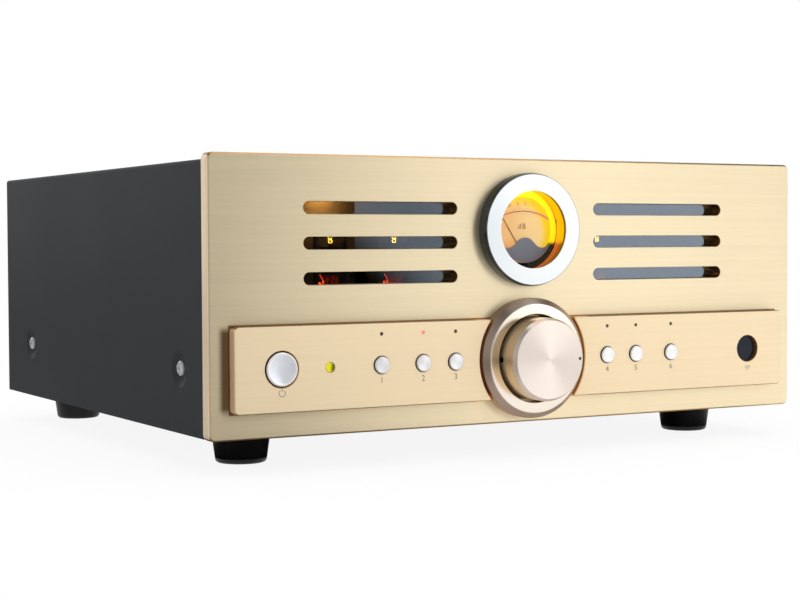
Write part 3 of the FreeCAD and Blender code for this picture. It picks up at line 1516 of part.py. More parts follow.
def at_each_tube(label, rise, corners):
    """Four equal turned pieces, one at each tube."""
    body = new_body(label, -(size.tube_across + size.tube_pitch), FACE + size.tube_back, rise)
    first = turn(body, corners, "Z")
    spread = 2 * size.tube_across + size.tube_pitch
    repeat(body, [first], [("X", size.tube_pitch, 2), ("X", spread, 2)])
    return body


def tube_sockets():
    """Ceramic tube sockets on the boards."""
    radius = size.tube_socket_radius
    height = size.tube_socket_height
    return at_each_tube("tube_sockets", tube_board_level() + size.board,
                        [(0, 0), (radius, 0), (radius, height), (0, height)])


def tube_envelopes():
    """Glass envelopes of the four tubes, hollow, with a sloping shoulder."""
    radius = size.tube_radius
    inside = radius - size.tube_glass
    wall = size.tube_glass
    neck = radius - size.tube_shoulder
    shoulder = size.tube_height - size.tube_shoulder
    corners = [(0, 0), (radius, 0), (radius, shoulder), (neck, size.tube_height), (0, size.tube_height),
               (0, size.tube_height - wall), (neck - wall / 2, size.tube_height - wall),
               (inside, shoulder - wall / 2), (inside, wall), (0, wall)]
    level = tube_board_level() + size.board + size.tube_socket_height
    return at_each_tube("tube_envelopes", level, corners)


def tube_electrodes():
    """Electrodes in each tube: stem, two mica discs, the anode between them and the cathode's end."""
    mica = size.mica_thickness
    low = size.anode_low
    high = size.anode_high
    cathode = size.cathode_radius
    stem = size.tube_stem_radius
    top = high + mica
    corners = [(0, size.tube_glass), (stem, size.tube_glass), (stem, low - mica),
               (size.mica_radius, low - mica), (size.mica_radius, low), (size.anode_radius, low),
               (size.anode_radius, high), (size.mica_radius, high), (size.mica_radius, top),
               (cathode, top), (cathode, top + size.cathode_height), (0, top + size.cathode_height)]
    level = tube_board_level() + size.board + size.tube_socket_height
    return at_each_tube("tube_electrodes", level, corners)


def amplifier_board():
    """Main board on short pillars in the middle of the tray."""
    width = size.main_board_width
    return box("amplifier_board", -width / 2, FACE + size.main_board_front, FLOOR + size.main_pillar,
               width, size.main_board_depth, size.board)


def filter_capacitors():
    """Six upright reservoir capacitors on the main board."""
    level = FLOOR + size.main_pillar + size.board
    body = new_body("filter_capacitors", -CAN_ACROSS, FACE + CAN_FRONT, level)
    first = turn(body, [(0, 0), (size.can_radius, 0), (size.can_radius, size.can_height - size.can_round),
                        (size.can_radius - size.can_round, size.can_height), (0, size.can_height)], "Z")
    repeat(body, [first], [("X", size.can_pitch_across, 2), ("Y", size.can_pitch_back, 3)])
    return body


def heatsinks():
    """Finned heat sink at each side of the main board, with two output transistors on it."""
    members = []
    depth = size.sink_fin_pitch * (size.sink_fin_count - 1) + size.sink_fin
    for side in (-1, 1):
        front = FACE + size.main_board_front
        body = new_body(f"sink_{side_name(side)}", side * SINK_INNER, front, FLOOR)
        back = plan_sketch(body)
        add_rectangle(back, 0, 0, side * size.sink_base, depth)
        pad(body, back, size.sink_height)
        fin = plan_sketch(body)
        fin_tip = side * (size.sink_base + size.sink_fin_length)
        add_rectangle(fin, side * size.sink_base, 0, fin_tip, size.sink_fin)
        first = pad(body, fin, size.sink_height)
        repeat(body, [first], [("Y", size.sink_fin_pitch, size.sink_fin_count)])
        members.append(body)
        for place in (-1, 1):
            middle = front + depth / 2 + place * size.transistor_offset
            thickness = size.transistor_thickness
            inner = side * SINK_INNER - (thickness if side > 0 else 0)
            members.append(box(f"transistor_{side_name(side)}_{'front' if place < 0 else 'rear'}", inner,
                               middle - size.transistor_width / 2, FLOOR + size.transistor_rise,
                               thickness, size.transistor_width, size.transistor_height))
    return group("heatsinks", members)


def post_place(index):
    """Place of a loudspeaker post across the rear panel."""
    channel, post = divmod(index, 2)
    return POST_ACROSS + channel * size.post_channel_pitch + post * size.post_pair_pitch


def speaker_posts():
    """Four binding posts: a bored core with a collar outside and a nut inside the rear panel."""
    posts = []
    inside = -size.sheet
    nut_end = inside - size.post_nut_height
    for index in range(4):
        body = new_body(f"post_core_{index + 1}", post_place(index), REAR_FACE, size.post_rise)
        core = size.post_core_radius
        hole = size.banana_radius
        floor = size.post_reach - size.banana_depth
        turn(body, [(0, -size.post_inside), (core, -size.post_inside), (core, nut_end),
                    (size.post_nut_radius, nut_end), (size.post_nut_radius, inside),
                    (size.post_bush_radius, inside), (size.post_bush_radius, 0),
                    (size.post_collar_radius, 0), (size.post_collar_radius, size.post_collar_height),
                    (core, size.post_collar_height), (core, size.post_reach),
                    (hole, size.post_reach), (hole, floor), (0, floor)])
        posts.append(body)
    return group("speaker_posts", posts)


def post_cap(index):
    """Fluted cap that screws down on a post's core."""
    body = new_body(f"post_cap_{index + 1}", post_place(index), REAR_FACE, size.post_rise)
    low = size.post_collar_height + size.cap_foot_gap
    bore = size.post_core_radius + size.running_gap
    turn(body, [(bore, low), (size.cap_radius, low), (size.cap_radius, size.post_reach - size.cap_bevel),
                (size.cap_radius - size.cap_bevel, size.post_reach), (bore, size.post_reach)])
    flute = front_sketch(body, size.post_reach)
    add_circle(flute, size.cap_flute_radius, 0, size.cap_radius + size.cap_flute_radius / 2)
    depth = size.post_reach - low - size.post_collar_height
    first = pocket(body, flute, depth, flip=True)
    ring_of(body, [first], size.cap_flutes)
    return body


def rca_jacks():
    """Ten input sockets in two rows: a flanged shell, its insulating core and the nut inside."""
    tail = size.jack_tail_radius
    inside = size.jack_radius - size.jack_wall
    shells = new_body("jack_shells", JACK_ACROSS, REAR_FACE, size.jack_rise)
    nut_front = -(size.sheet + size.jack_nut_height)
    first = turn(shells, [(inside, -size.jack_tail_length), (tail, -size.jack_tail_length), (tail, nut_front),
                          (size.jack_flange_radius, nut_front), (size.jack_flange_radius, -size.sheet),
                          (tail, -size.sheet), (tail, 0), (size.jack_flange_radius, 0),
                          (size.jack_flange_radius, size.jack_flange_height),
                          (size.jack_radius, size.jack_flange_height), (size.jack_radius, size.jack_length),
                          (inside, size.jack_length)])
    grid = [("X", size.jack_pitch, size.jack_pairs), ("Z", size.jack_row_pitch, 2)]
    repeat(shells, [first], grid)
    cores = new_body("jack_cores", JACK_ACROSS, REAR_FACE, size.jack_rise)
    face = size.jack_length - size.jack_core_recess
    floor = face - size.jack_pin_depth
    first = turn(cores, [(0, -size.jack_tail_length), (inside, -size.jack_tail_length), (inside, face),
                         (size.jack_pin_radius, face), (size.jack_pin_radius, floor), (0, floor)])
    repeat(cores, [first], grid)
    return group("rca_jacks", [shells, cores])


def iec_inlet():
    """Mains inlet: screwed flange, shrouded mouth with three blades and the fuse drawer's slot."""
    body = new_body("inlet_case", INLET_ACROSS, REAR_FACE, size.inlet_rise)
    thickness = size.inlet_flange_thickness
    flange = front_sketch(body)
    half = size.inlet_flange_width / 2
    add_rectangle(flange, -half, -size.inlet_flange_low, half, size.inlet_flange_high)
    pad(body, flange, thickness, flip=True)
    round_edges(body, size.inlet_flange_corner, lambda edge: runs_along(edge, "y"))
    trunk = front_sketch(body)
    half = size.inlet_body_width / 2
    add_rectangle(trunk, -half, -size.inlet_body_low, half, size.inlet_body_high)
    pad(body, trunk, size.inlet_depth)
    mouth = front_sketch(body, thickness)
    half = size.inlet_mouth_width / 2
    cut = size.inlet_mouth_bevel
    top = size.inlet_mouth_height / 2
    add_outline(mouth, [(-half, -top), (half, -top), (half, top - cut), (half - cut, top), (cut - half, top),
                        (-half, top - cut)])
    pocket(body, mouth, size.inlet_mouth_depth, flip=True)
    gap = size.running_gap
    slot = front_sketch(body, thickness)
    half = size.drawer_width / 2 + gap
    half_height = size.drawer_height / 2 + gap
    middle = -size.drawer_drop
    add_rectangle(slot, -half, middle - half_height, half, middle + half_height)
    pocket(body, slot, size.drawer_depth + gap, flip=True)
    holes = front_sketch(body, thickness)
    for side in (-1, 1):
        add_circle(holes, size.screw_radius, side * size.inlet_screw_across)
    pocket(body, holes, thickness, flip=True)
    blades = []
    floor = REAR_FACE + thickness - size.inlet_mouth_depth
    width = size.blade_width
    places = (("live", -size.blade_across, size.blade_drop), ("neutral", size.blade_across, size.blade_drop),
              ("earth", 0, -size.blade_drop))
    for name, across, drop in places:
        left = INLET_ACROSS + across - width / 2
        low = size.inlet_rise - drop - size.blade_height / 2
        blades.append(box(f"blade_{name}", left, floor, low, width, size.blade_reach, size.blade_height))
    return group("iec_inlet", [body] + blades)


def fuse_drawer():
    """Drawer that holds the mains fuse and slides out to the rear."""
    body = new_body("fuse_drawer", INLET_ACROSS, REAR_FACE + size.inlet_flange_thickness,
                    size.inlet_rise - size.drawer_drop)
    tray = front_sketch(body)
    half = size.drawer_width / 2
    add_rectangle(tray, -half, -size.drawer_height / 2, half, size.drawer_height / 2)
    pad(body, tray, size.drawer_depth)
    front = front_sketch(body)
    half = size.drawer_front_width / 2
    add_rectangle(front, -half, -size.drawer_front_height / 2, half, size.drawer_front_height / 2)
    pad(body, front, size.drawer_front_thickness, flip=True)
    notch = front_sketch(body, size.drawer_front_thickness)
    half = size.drawer_notch_width / 2
    top = size.drawer_front_height / 2
    add_rectangle(notch, -half, top - size.drawer_notch_height, half, top)
    pocket(body, notch, size.drawer_front_thickness / 2, flip=True)
    fuse = plan_sketch(body, size.drawer_height / 2)
    length = size.fuse_pocket_length / 2
    middle = -size.drawer_depth / 2
    width = size.fuse_pocket_width / 2
    add_rectangle(fuse, -length, middle - width, length, middle + width)
    pocket(body, fuse, size.fuse_pocket_depth)
    return body


def usb_socket():
    """Square data socket with a thin flange and its contact tongue."""
    body = new_body("usb_socket", DATA_ACROSS, REAR_FACE, size.data_rise)
    half = size.data_width / 2
    top = size.data_height / 2
    edge = size.data_flange
    shell = front_sketch(body, size.data_flange_thickness)
    add_rectangle(shell, -half, -top, half, top)
    pad(body, shell, size.data_depth)
    flange = front_sketch(body)
    add_rectangle(flange, -half - edge, -top - edge, half + edge, top + edge)
    pad(body, flange, size.data_flange_thickness, flip=True)
    mouth = front_sketch(body, size.data_flange_thickness)
    half = size.data_mouth_width / 2
    top = size.data_mouth_height / 2
    cut = size.data_mouth_bevel
    add_outline(mouth, [(-half, -top), (half, -top), (half, top - cut), (half - cut, top), (cut - half, top),
                        (-half, top - cut)])
    pocket(body, mouth, size.data_mouth_depth, flip=True)
    tongue = front_sketch(body, size.data_flange_thickness - size.data_mouth_depth)
    half = size.data_tongue_width / 2
    top = size.data_tongue_height / 2
    add_rectangle(tongue, -half, -top, half, top)
    pad(body, tongue, size.data_tongue_length, flip=True)
    return body


nodes = [front_panel(), control_strip(-1), control_strip(1), panel_screws()]
nodes += [knob_ring(), volume_knob(), knob_set_screw(), volume_shaft(), motor_pinion(), volume_pot()]
nodes += [volume_motor()]
nodes += [meter_bezel(), meter_glass(), meter_housing(), meter_dial(), meter_mask(), meter_needle()]
nodes += [meter_movement(), meter_lamp(), slot_windows()]
nodes += [power_button(), power_switch(), power_led()]
nodes += [source_button(index) for index in range(6)]
nodes += [source_switches(), source_leds(), front_board(), remote_lens()]
nodes += [chassis_base(), rear_panel(), top_cover(), case_screws()]
for name, depth in (("front", size.foot_front), ("rear", FOOT_REAR)):
    nodes += [foot(side, depth, name) for side in (-1, 1)]
nodes += [power_transformer(), transformer_plate()]
nodes += [tube_board(), tube_sockets(), tube_envelopes(), tube_electrodes()]
nodes += [amplifier_board(), filter_capacitors(), heatsinks()]
nodes += [speaker_posts()] + [post_cap(index) for index in range(4)]
nodes += [rca_jacks(), iec_inlet(), fuse_drawer(), usb_socket()]

doc.recompute()

for item in doc.Objects:
    if "Invalid" in item.State or "Error" in item.State:
        raise RuntimeError(f"{item.Label} failed: {item.State}")
    before = getattr(item, "BaseFeature", None)
    if item.isDerivedFrom("PartDesign::Feature") and before is not None:
        if abs(item.Shape.Volume - before.Shape.Volume) < TOLERANCE:
            raise RuntimeError(f"{item.Label} changes nothing")
for node in nodes:
    if node.Shape.isNull() or not node.Shape.isValid():
        raise RuntimeError(f"{node.Label} is not a valid solid")
for node in nodes:
    node.Shape.exportStep(f"parts/{node.Label}.step")
print(len(nodes), "nodes written")
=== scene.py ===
import math

import bmesh
import bpy
from mathutils import Matrix, Vector


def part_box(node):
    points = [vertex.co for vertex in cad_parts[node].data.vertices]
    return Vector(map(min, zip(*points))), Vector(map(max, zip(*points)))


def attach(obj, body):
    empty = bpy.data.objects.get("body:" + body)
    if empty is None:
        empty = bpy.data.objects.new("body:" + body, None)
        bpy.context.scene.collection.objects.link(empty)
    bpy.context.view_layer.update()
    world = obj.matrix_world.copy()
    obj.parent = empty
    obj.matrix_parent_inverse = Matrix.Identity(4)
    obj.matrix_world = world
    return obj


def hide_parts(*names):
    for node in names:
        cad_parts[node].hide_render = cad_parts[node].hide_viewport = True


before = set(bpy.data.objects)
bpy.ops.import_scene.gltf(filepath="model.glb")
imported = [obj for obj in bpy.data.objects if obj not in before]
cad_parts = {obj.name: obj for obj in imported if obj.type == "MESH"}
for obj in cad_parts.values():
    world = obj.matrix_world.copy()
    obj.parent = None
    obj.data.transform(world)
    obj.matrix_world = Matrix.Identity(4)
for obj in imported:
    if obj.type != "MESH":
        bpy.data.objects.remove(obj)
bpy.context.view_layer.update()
scene = bpy.context.scene


# Studio. A matt white floor, a tall soft box in front at the right that is brighter high up and
# further out, a lamp above, and dark cloths in front, at the left, above and on the near floor, which
# only mirrored rays and rays through glass meet; the camera stands where the photograph's did.
FLOOR_REACH = 7.0
FLOOR_DROP = 0.0001
FLOOR_NEAR = 0.25
FLOOR_FAR = 0.75
FLOOR_LIFT = 0.9
LAMP_HEIGHT = 1.9
LAMP_LINE = -2.30
LAMP_START = 1.00
LAMP_END = 1.90
LAMP_FOOT = 0.195
LAMP_SLANT = 1.2
# Gradings: two limits in metres and, where there are four numbers, the levels at them
LAMP_LOW = (1.10, 1.60, 1.05, 2.35)
LAMP_HIGH = (1.05, 1.40, 1.8, 2.8)
LAMP_FADE = (1.85, 1.52, 0.1, 1.0)
LAMP_RISE = (0.35, 0.55)
LAMP_CORNER = (0.86, 1.05)
TOP_LAMP_PLACE = (0.2, 0.1, 1.9)
TOP_LAMP_SIDE = 1.6
TOP_LAMP_POWER = 9.0
CLOTH_LEFT = -2.6
CLOTH_REACH = 5.0
CLOTH_TOP = 3.0
CLOTH_RISE = 0.002
CLOTH_FRONT = -0.225
CLOTH_TIP = (2.43, -0.09)
NEAR_CLOTH = (-0.225, 0.45, -0.31, -0.08)
CLOTH_BLACK = 0.01
CLOTH_GREY = 0.30
CLOTH_PALE = 0.40
CLOTH_SIDE = 0.60
CLOTH_FLOOR = 0.28
CLOTH_FLOOR_RIGHT = 0.95
CLOTH_ABOVE = 0.8
CAMERA_PLACE = (-0.58533, -1.07180, 0.13406)
CAMERA_LENS = 75.95
CAMERA_SENSOR = 36.0
CAMERA_TURN = -29.35
CAMERA_FALL = 2.046
CAMERA_ROLL = -0.252


def linear(red, green, blue):
    """Colour written as screen values from 0 to 255, in the linear form that a shader takes."""
    channels = [value / 255 for value in (red, green, blue)]
    return (*[v / 12.92 if v <= 0.04045 else ((v + 0.055) / 1.055) ** 2.4 for v in channels], 1.0)


def fill(socket, value):
    """Links an input or sets it; three numbers given for a colour are screen values."""
    value = getattr(value, "socket", value)
    if isinstance(value, bpy.types.NodeSocket):
        socket.id_data.links.new(value, socket)
    elif socket.type == "RGBA" and len(value) == 3:
        socket.default_value = linear(*value)
    else:
        socket.default_value = value


class Nodes:
    """Tree of nodes, with the patterns that most surfaces need."""

    def __init__(self, tree):
        self.tree = tree

    def add(self, kind, inputs=None, output=0, **options):
        """Output of a new node with its options set and its inputs, by name or number, filled."""
        node = self.tree.nodes.new(kind)
        for option, value in options.items():
            setattr(node, option, value)
        for name, value in (inputs or {}).items():
            fill(node.inputs[name], value)
        return Signal(node.outputs[output])

    def here(self, origin=(0, 0, 0)):
        """Place on the piece, in metres from a point of the part."""
        place = self.add("ShaderNodeTexCoord", output="Object")
        return place.moved(-Vector(origin)) if any(origin) else place

    def axes(self, origin=(0, 0, 0)):
        """Place across, in depth and up."""
        parts = self.here(origin).node("ShaderNodeSeparateXYZ").socket.node.outputs
        return [Signal(part) for part in parts]

    def from_line(self, centre):
        """Distance from the line through a point along the depth."""
        return self.here().moved((-centre[0], 0, -centre[2]), (1, 0, 1)).length()

    def noise(self, scale, detail=2.0, roughness=0.5, place=None):
        """Cloudy pattern with values round a half."""
        inputs = {"Scale": scale, "Detail": detail, "Roughness": roughness}
        return self.add("ShaderNodeTexNoise", inputs if place is None else {**inputs, "Vector": place})


class Signal:
    """Output of a node, which adds, multiplies, grades and mixes like a number."""

    def __init__(self, socket):
        self.socket = socket

    def node(self, kind, inputs=None, output=0, **options):
        """Output of a new node that takes this signal first."""
        return Nodes(self.socket.id_data).add(kind, {0: self, **(inputs or {})}, output, **options)

    def math(self, operation, *terms):
        """Result of one sum on this signal and others or numbers."""
        return self.node("ShaderNodeMath", dict(enumerate(terms, 1)), operation=operation)

    def __add__(self, other):
        return self.math("ADD", other)

    def __sub__(self, other):
        return self.math("SUBTRACT", other)

    def __rsub__(self, other):
        return self.math("MULTIPLY_ADD", -1.0, other)

    def __mul__(self, other):
        return self.math("MULTIPLY", other)

    def __abs__(self):
        return self.math("ABSOLUTE")

    def most(self, other):
        """The larger of two."""
        return self.math("MAXIMUM", other)

    def graded(self, low, high, start=0.0, end=1.0):
        """Smooth step between two limits."""
        inputs = {1: low, 2: high, 3: start, 4: end}
        return self.node("ShaderNodeMapRange", inputs, interpolation_type="SMOOTHSTEP")

    def blend(self, first, second):
        """Colour between two by this share."""
        return self.node("ShaderNodeMix", {6: first, 7: second}, 2, data_type="RGBA")

    def moved(self, location=(0, 0, 0), scale=(1, 1, 1)):
        """Place stretched and then moved."""
        return self.node("ShaderNodeMapping", {"Location": location, "Scale": scale})

    def length(self):
        """Distance of a place from the origin."""
        return self.node("ShaderNodeVectorMath", output="Value", operation="LENGTH")


class Paint(Nodes):
    """Material with the shader that its nodes feed."""

    def __init__(self, name, **values):
        self.material = bpy.data.materials.new(name)
        self.material.use_nodes = True
        super().__init__(self.material.node_tree)
        self.shader = self.tree.nodes["Principled BSDF"]
        self.set(**values)

    def set(self, **values):
        """Fills inputs of the shader, with a low line for each space in a name."""
        for name, value in values.items():
            fill(self.shader.inputs[name.replace("_", " ")], value)

    def glow(self, tone):
        """One colour for the surface and for its own light."""
        self.set(Base_Color=tone, Emission_Color=tone)

    def show(self, look):
        """Puts a look in the place of the shader."""
        fill(self.tree.nodes["Material Output"].inputs["Surface"], look)

    def mottle(self, pattern, first, second, *rough, limits=(0.2, 0.8)):
        """Colour between two by a pattern and, where two are given, roughness by its middle range."""
        self.set(Base_Color=pattern.blend(first, second))
        if rough:
            self.set(Roughness=pattern.graded(*limits, *rough))

    def raise_by(self, height, depth):
        """Relief by a height from 0 to 1 times a depth in metres."""
        self.set(Normal=self.add("ShaderNodeBump", {"Height": height, "Distance": depth}))

    def grain(self, group, *values):
        """Lets a grain feed the shader; the values are those of its inputs in turn, and then the depth."""
        *values, depth = values
        made = self.add("ShaderNodeGroup", dict(enumerate(values)), node_tree=group.tree)
        made = made.socket.node.outputs
        self.set(Base_Color=made["Colour"], Roughness=made["Roughness"])
        self.raise_by(made["Height"], depth)
        if group.direction:
            self.set(Tangent=self.add("ShaderNodeTangent", direction_type="UV_MAP", uv_map=group.direction))


def add_piece(name, mesh, paint):
    """Object for a mesh that already lies in its place."""
    piece = bpy.data.objects.new(name, mesh)
    scene.collection.objects.link(piece)
    mesh.materials.clear()
    mesh.materials.append(paint.material)
    return piece


def sheets_mesh(name, sheets):
    """Mesh of four-cornered sheets."""
    mesh = bpy.data.meshes.new(name)
    mesh.from_pydata([corner for sheet in sheets for corner in sheet], [],
                     [tuple(range(4 * index, 4 * index + 4)) for index in range(len(sheets))])
    return mesh


def add_light(name, kind, place, power):
    """Lamp of a kind at a place; gives its object."""
    light = bpy.data.lights.new(name, kind)
    light.energy = power
    lamp = bpy.data.objects.new(name, light)
    lamp.location = place
    scene.collection.objects.link(lamp)
    return lamp


surround = bpy.data.worlds.new("surround")
scene.world = surround
surround.use_nodes = True
surround.node_tree.nodes["Background"].inputs["Color"].default_value = (1, 1, 1, 1)
surround.node_tree.nodes["Background"].inputs["Strength"].default_value = 1.0

white_floor = Paint("white_floor", Base_Color=(0.93, 0.93, 0.93, 1), Roughness=0.9)
camera_ray, mirrored, through = (white_floor.add("ShaderNodeLightPath", output=f"Is {ray} Ray")
                                 for ray in ("Camera", "Glossy", "Transmission"))
away = white_floor.here().length().graded(FLOOR_NEAR, FLOOR_FAR, FLOOR_LIFT, 1.0)
away = away * camera_ray.most(mirrored.most(through))
pure_white = white_floor.add("ShaderNodeEmission", {"Color": (1, 1, 1, 1), "Strength": 1.0})
white_floor.show(away.node("ShaderNodeMixShader", {1: white_floor.shader.outputs[0], 2: pure_white}))


def lying(left, right, near, far, height):
    """Corners of a level sheet."""
    return [(left, near, height), (right, near, height), (right, far, height), (left, far, height)]


add_piece("floor", sheets_mesh("floor", [
    lying(-FLOOR_REACH, FLOOR_REACH, -FLOOR_REACH, FLOOR_REACH, -FLOOR_DROP)]), white_floor)

left, reach, front, ceiling = CLOTH_LEFT, CLOTH_REACH, CLOTH_FRONT, CLOTH_TOP
first = lying(left, CLOTH_TIP[0], -reach, front, CLOTH_RISE)
first[2] = (CLOTH_TIP[1], front, CLOTH_RISE)
sheets = [first, lying(*NEAR_CLOTH, CLOTH_RISE + 0.001), lying(left, front, front, reach, CLOTH_RISE),
          [(left, -reach, 0), (reach, -reach, 0), (reach, -reach, ceiling), (left, -reach, ceiling)],
          [(left, -reach, 0), (left, reach, 0), (left, reach, ceiling), (left, -reach, ceiling)],
          lying(left, reach, -reach, reach, ceiling)]
cloth_black = Paint("cloth_black", Roughness=0.9, Specular_IOR_Level=0.1)
x, y, z = cloth_black.axes()
# Limits in metres of the parts of the cloths that are paler than the rest
behind_left = x.graded(-0.2, -1.5) * y.graded(0.5, -1.0)
far_front = y.graded(-3.6, -4.6) * x.graded(1.9, 1.3)
side = x.graded(-2.3, -2.5) * y.graded(-0.5, -0.9) * y.graded(-2.6, -1.9)
close = cloth_black.here().length().graded(0.9, 0.4) * x.graded(-0.16, 0.02, CLOTH_FLOOR, CLOTH_FLOOR_RIGHT)
above = (x.graded(0.7, 1.4) * x.graded(3.0, 2.2) * y.graded(-1.6, -1.0)
         * z.graded(ceiling - 0.2, ceiling - 0.1))
tone = behind_left * CLOTH_GREY + CLOTH_BLACK
for share, level in ((far_front, CLOTH_PALE), (side, CLOTH_SIDE), (close, 1.0), (above, CLOTH_ABOVE)):
    tone = tone.most(share * level)
cloth_black.set(Base_Color=cloth_black.noise(30.0, place=cloth_black.here()) * 0.01 + tone)
cloth = add_piece("dark_cloths", sheets_mesh("dark_cloths", sheets), cloth_black)
cloth.visible_camera = False
cloth.visible_diffuse = False
cloth.visible_shadow = False

soft_white = Paint("soft_white")
x, z = soft_white.axes()[::2]
low_level = x.graded(*LAMP_LOW)
high_level = x.graded(*LAMP_HIGH) * x.graded(*LAMP_FADE)
level = z.graded(*LAMP_RISE) * (high_level - low_level) + low_level
level = level * ((z - LAMP_FOOT) * LAMP_SLANT + x).graded(*LAMP_CORNER)
soft_white.show(soft_white.add("ShaderNodeEmission", {"Color": (1, 1, 1, 1), "Strength": level}))
soft_box = add_piece("soft_box", sheets_mesh("soft_box", [[
    (LAMP_START, LAMP_LINE, 0), (LAMP_START, LAMP_LINE, LAMP_HEIGHT),
    (LAMP_END, LAMP_LINE, LAMP_HEIGHT), (LAMP_END, LAMP_LINE, 0)]]), soft_white)
soft_box.visible_camera = False
top_lamp = add_light("top_lamp", "AREA", TOP_LAMP_PLACE, TOP_LAMP_POWER)
top_lamp.data.shape = "RECTANGLE"
top_lamp.data.size = top_lamp.data.size_y = TOP_LAMP_SIDE
top_lamp.rotation_euler = (-Vector(TOP_LAMP_PLACE)).to_track_quat("-Z", "Y").to_euler()

turn, fall, roll = (math.radians(angle) for angle in (CAMERA_TURN, CAMERA_FALL, CAMERA_ROLL))
ahead = Vector((-math.sin(turn) * math.cos(fall), math.cos(turn) * math.cos(fall), -math.sin(fall)))
sideways = ahead.cross(Vector((0, 0, 1))).normalized()
upright = sideways.cross(ahead)
right = sideways * math.cos(roll) + upright * math.sin(roll)
top = upright * math.cos(roll) - sideways * math.sin(roll)
view = bpy.data.cameras.new("view")
view.lens = CAMERA_LENS
view.sensor_width = CAMERA_SENSOR
camera = bpy.data.objects.new("view", view)
camera.matrix_world = Matrix.Translation(CAMERA_PLACE) @ Matrix((right, top, -ahead)).transposed().to_4x4()
scene.collection.objects.link(camera)
scene.camera = camera
scene.view_settings.view_transform = "Standard"


# Faceplate. One thick aluminium plate, brushed from side to side and anodised in pale gold, with
# three long slots at each side of the meter, screwed to the tray's front tabs from behind. Painted
# shade makes it deeper in tone along the strips' edges, beside the left strip's end, on its own top
# front edge and on its sides, and painted light makes its outer ends paler.
PLATE_EDGE = 0.0003
STRIP_SHADE_NEAR = 0.0010
STRIP_SHADE_LINE = 0.0003
END_METAL = 0.47
BRUSH_FINENESS = 2600.0
BRUSH_DEPTH = 0.000019
SMOOTH_DEPTH = 0.000001
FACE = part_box("front_panel")[0].y
STRIP_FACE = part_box("control_strip_left")[0].y


class Group(Nodes):
    """Group of nodes with named inputs, whose kind follows from the values they have at first."""

    FORMS = {float: "Float", int: "Int", tuple: "Vector"}

    def __init__(self, name, kind, inputs, outputs):
        super().__init__(bpy.data.node_groups.new(name, f"{kind}NodeTree"))
        for side, sockets in (("INPUT", inputs), ("OUTPUT", outputs)):
            for socket, value in sockets.items():
                form = self.FORMS.get(type(value), value)
                made = self.tree.interface.new_socket(socket, in_out=side, socket_type=f"NodeSocket{form}")
                if form is not value:
                    made.default_value = value
        given = self.tree.nodes.new("NodeGroupInput").outputs
        self.given = {socket: Signal(given[socket]) for socket in inputs}
        self.ending = self.tree.nodes.new("NodeGroupOutput").inputs


class Grain(Group):
    """Group that varies a colour and a roughness; its map, if any, says which way the lines run."""

    def __init__(self, name, direction=None):
        numbers = dict.fromkeys(("Roughness", "Contrast", "Spread", "Marks", "Fineness"), "Float")
        super().__init__(name, "Shader", {"Colour": "Color", **numbers},
                         {"Colour": "Color", "Roughness": "Float", "Height": "Float"})
        self.direction = direction

    def finish(self, lines, scale, detail):
        """Joins the lines and large soft marks to colour, roughness and height."""
        given = self.given
        swing = lines * 2.0 - 1.0
        marks = self.noise(scale, detail, place=self.here()) - 0.5
        worn = marks * given["Contrast"] + (swing * given["Contrast"] + 1.0)
        worn = given["Colour"].node("ShaderNodeVectorMath", {1: worn}, operation="MULTIPLY")
        rough = marks * given["Marks"] + (given["Roughness"] + swing * given["Spread"])
        for name, value in (("Colour", worn), ("Roughness", rough), ("Height", lines)):
            fill(self.ending[name], value)


# Lines that a belt leaves along X, fine ones over broad ones
brushed = Grain("brushed_grain", "brushing")
drawn = brushed.here().moved(scale=(0.012, 0.03, 1.0))
fine = brushed.noise(brushed.given["Fineness"], 3.0, 0.7, drawn)
broad = brushed.noise(brushed.given["Fineness"] * 0.17, 1.0, place=drawn)
brushed.finish((fine - broad) * 0.6 + broad, 9.0, 3.0)


def built_mesh(name, work):
    """Mesh of points and faces that are ready."""
    mesh = bpy.data.meshes.new(name)
    work.to_mesh(mesh)
    work.free()
    return mesh


def joined_copy(node):
    """Mesh of a node with its loose triangles joined and its flat faces made whole."""
    work = bmesh.new()
    work.from_mesh(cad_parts[node].data)
    bmesh.ops.remove_doubles(work, verts=work.verts, dist=0.000005)
    bmesh.ops.dissolve_limit(work, angle_limit=math.radians(0.3), verts=work.verts, edges=work.edges)
    mesh = built_mesh(node, work)
    for layer in ("custom_normal", "sharp_edge", "sharp_face"):
        if layer in mesh.attributes:
            mesh.attributes.remove(mesh.attributes[layer])
    mesh.shade_smooth()
    return mesh


def evaluated(piece):
    """Plain mesh of what a piece's curve or modifiers make."""
    return bpy.data.meshes.new_from_object(piece.evaluated_get(bpy.context.evaluated_depsgraph_get()))


def make_plain(piece):
    """Turns a piece's modifiers into plain mesh."""
    mesh = evaluated(piece)
    piece.modifiers.clear()
    piece.data = mesh


def place_piece(piece, slot, *nodes, body="case"):
    """Lets a piece ride on its body and stand for nodes of the frame; its slot is not used."""
    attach(piece, body)
    if nodes:
        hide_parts(*nodes)


def brushed_plate(name, node, slot, paint, edge):
    """Plate with softened edges and a map whose first direction runs along X on its face."""
    piece = add_piece(name, joined_copy(node), paint)
    bevel = piece.modifiers.new("soft_edges", "BEVEL")
    bevel.width = edge
    bevel.segments = 2
    bevel.limit_method = "ANGLE"
    bevel.angle_limit = math.radians(28)
    bevel.use_clamp_overlap = False
    bevel.harden_normals = True
    make_plain(piece)
    layer = piece.data.uv_layers.new(name="brushing")
    for loop in piece.data.loops:
        place = piece.data.vertices[loop.vertex_index].co
        layer.data[loop.index].uv = (place.x + place.y, place.z + 0.7 * place.y)
    place_piece(piece, slot, node)


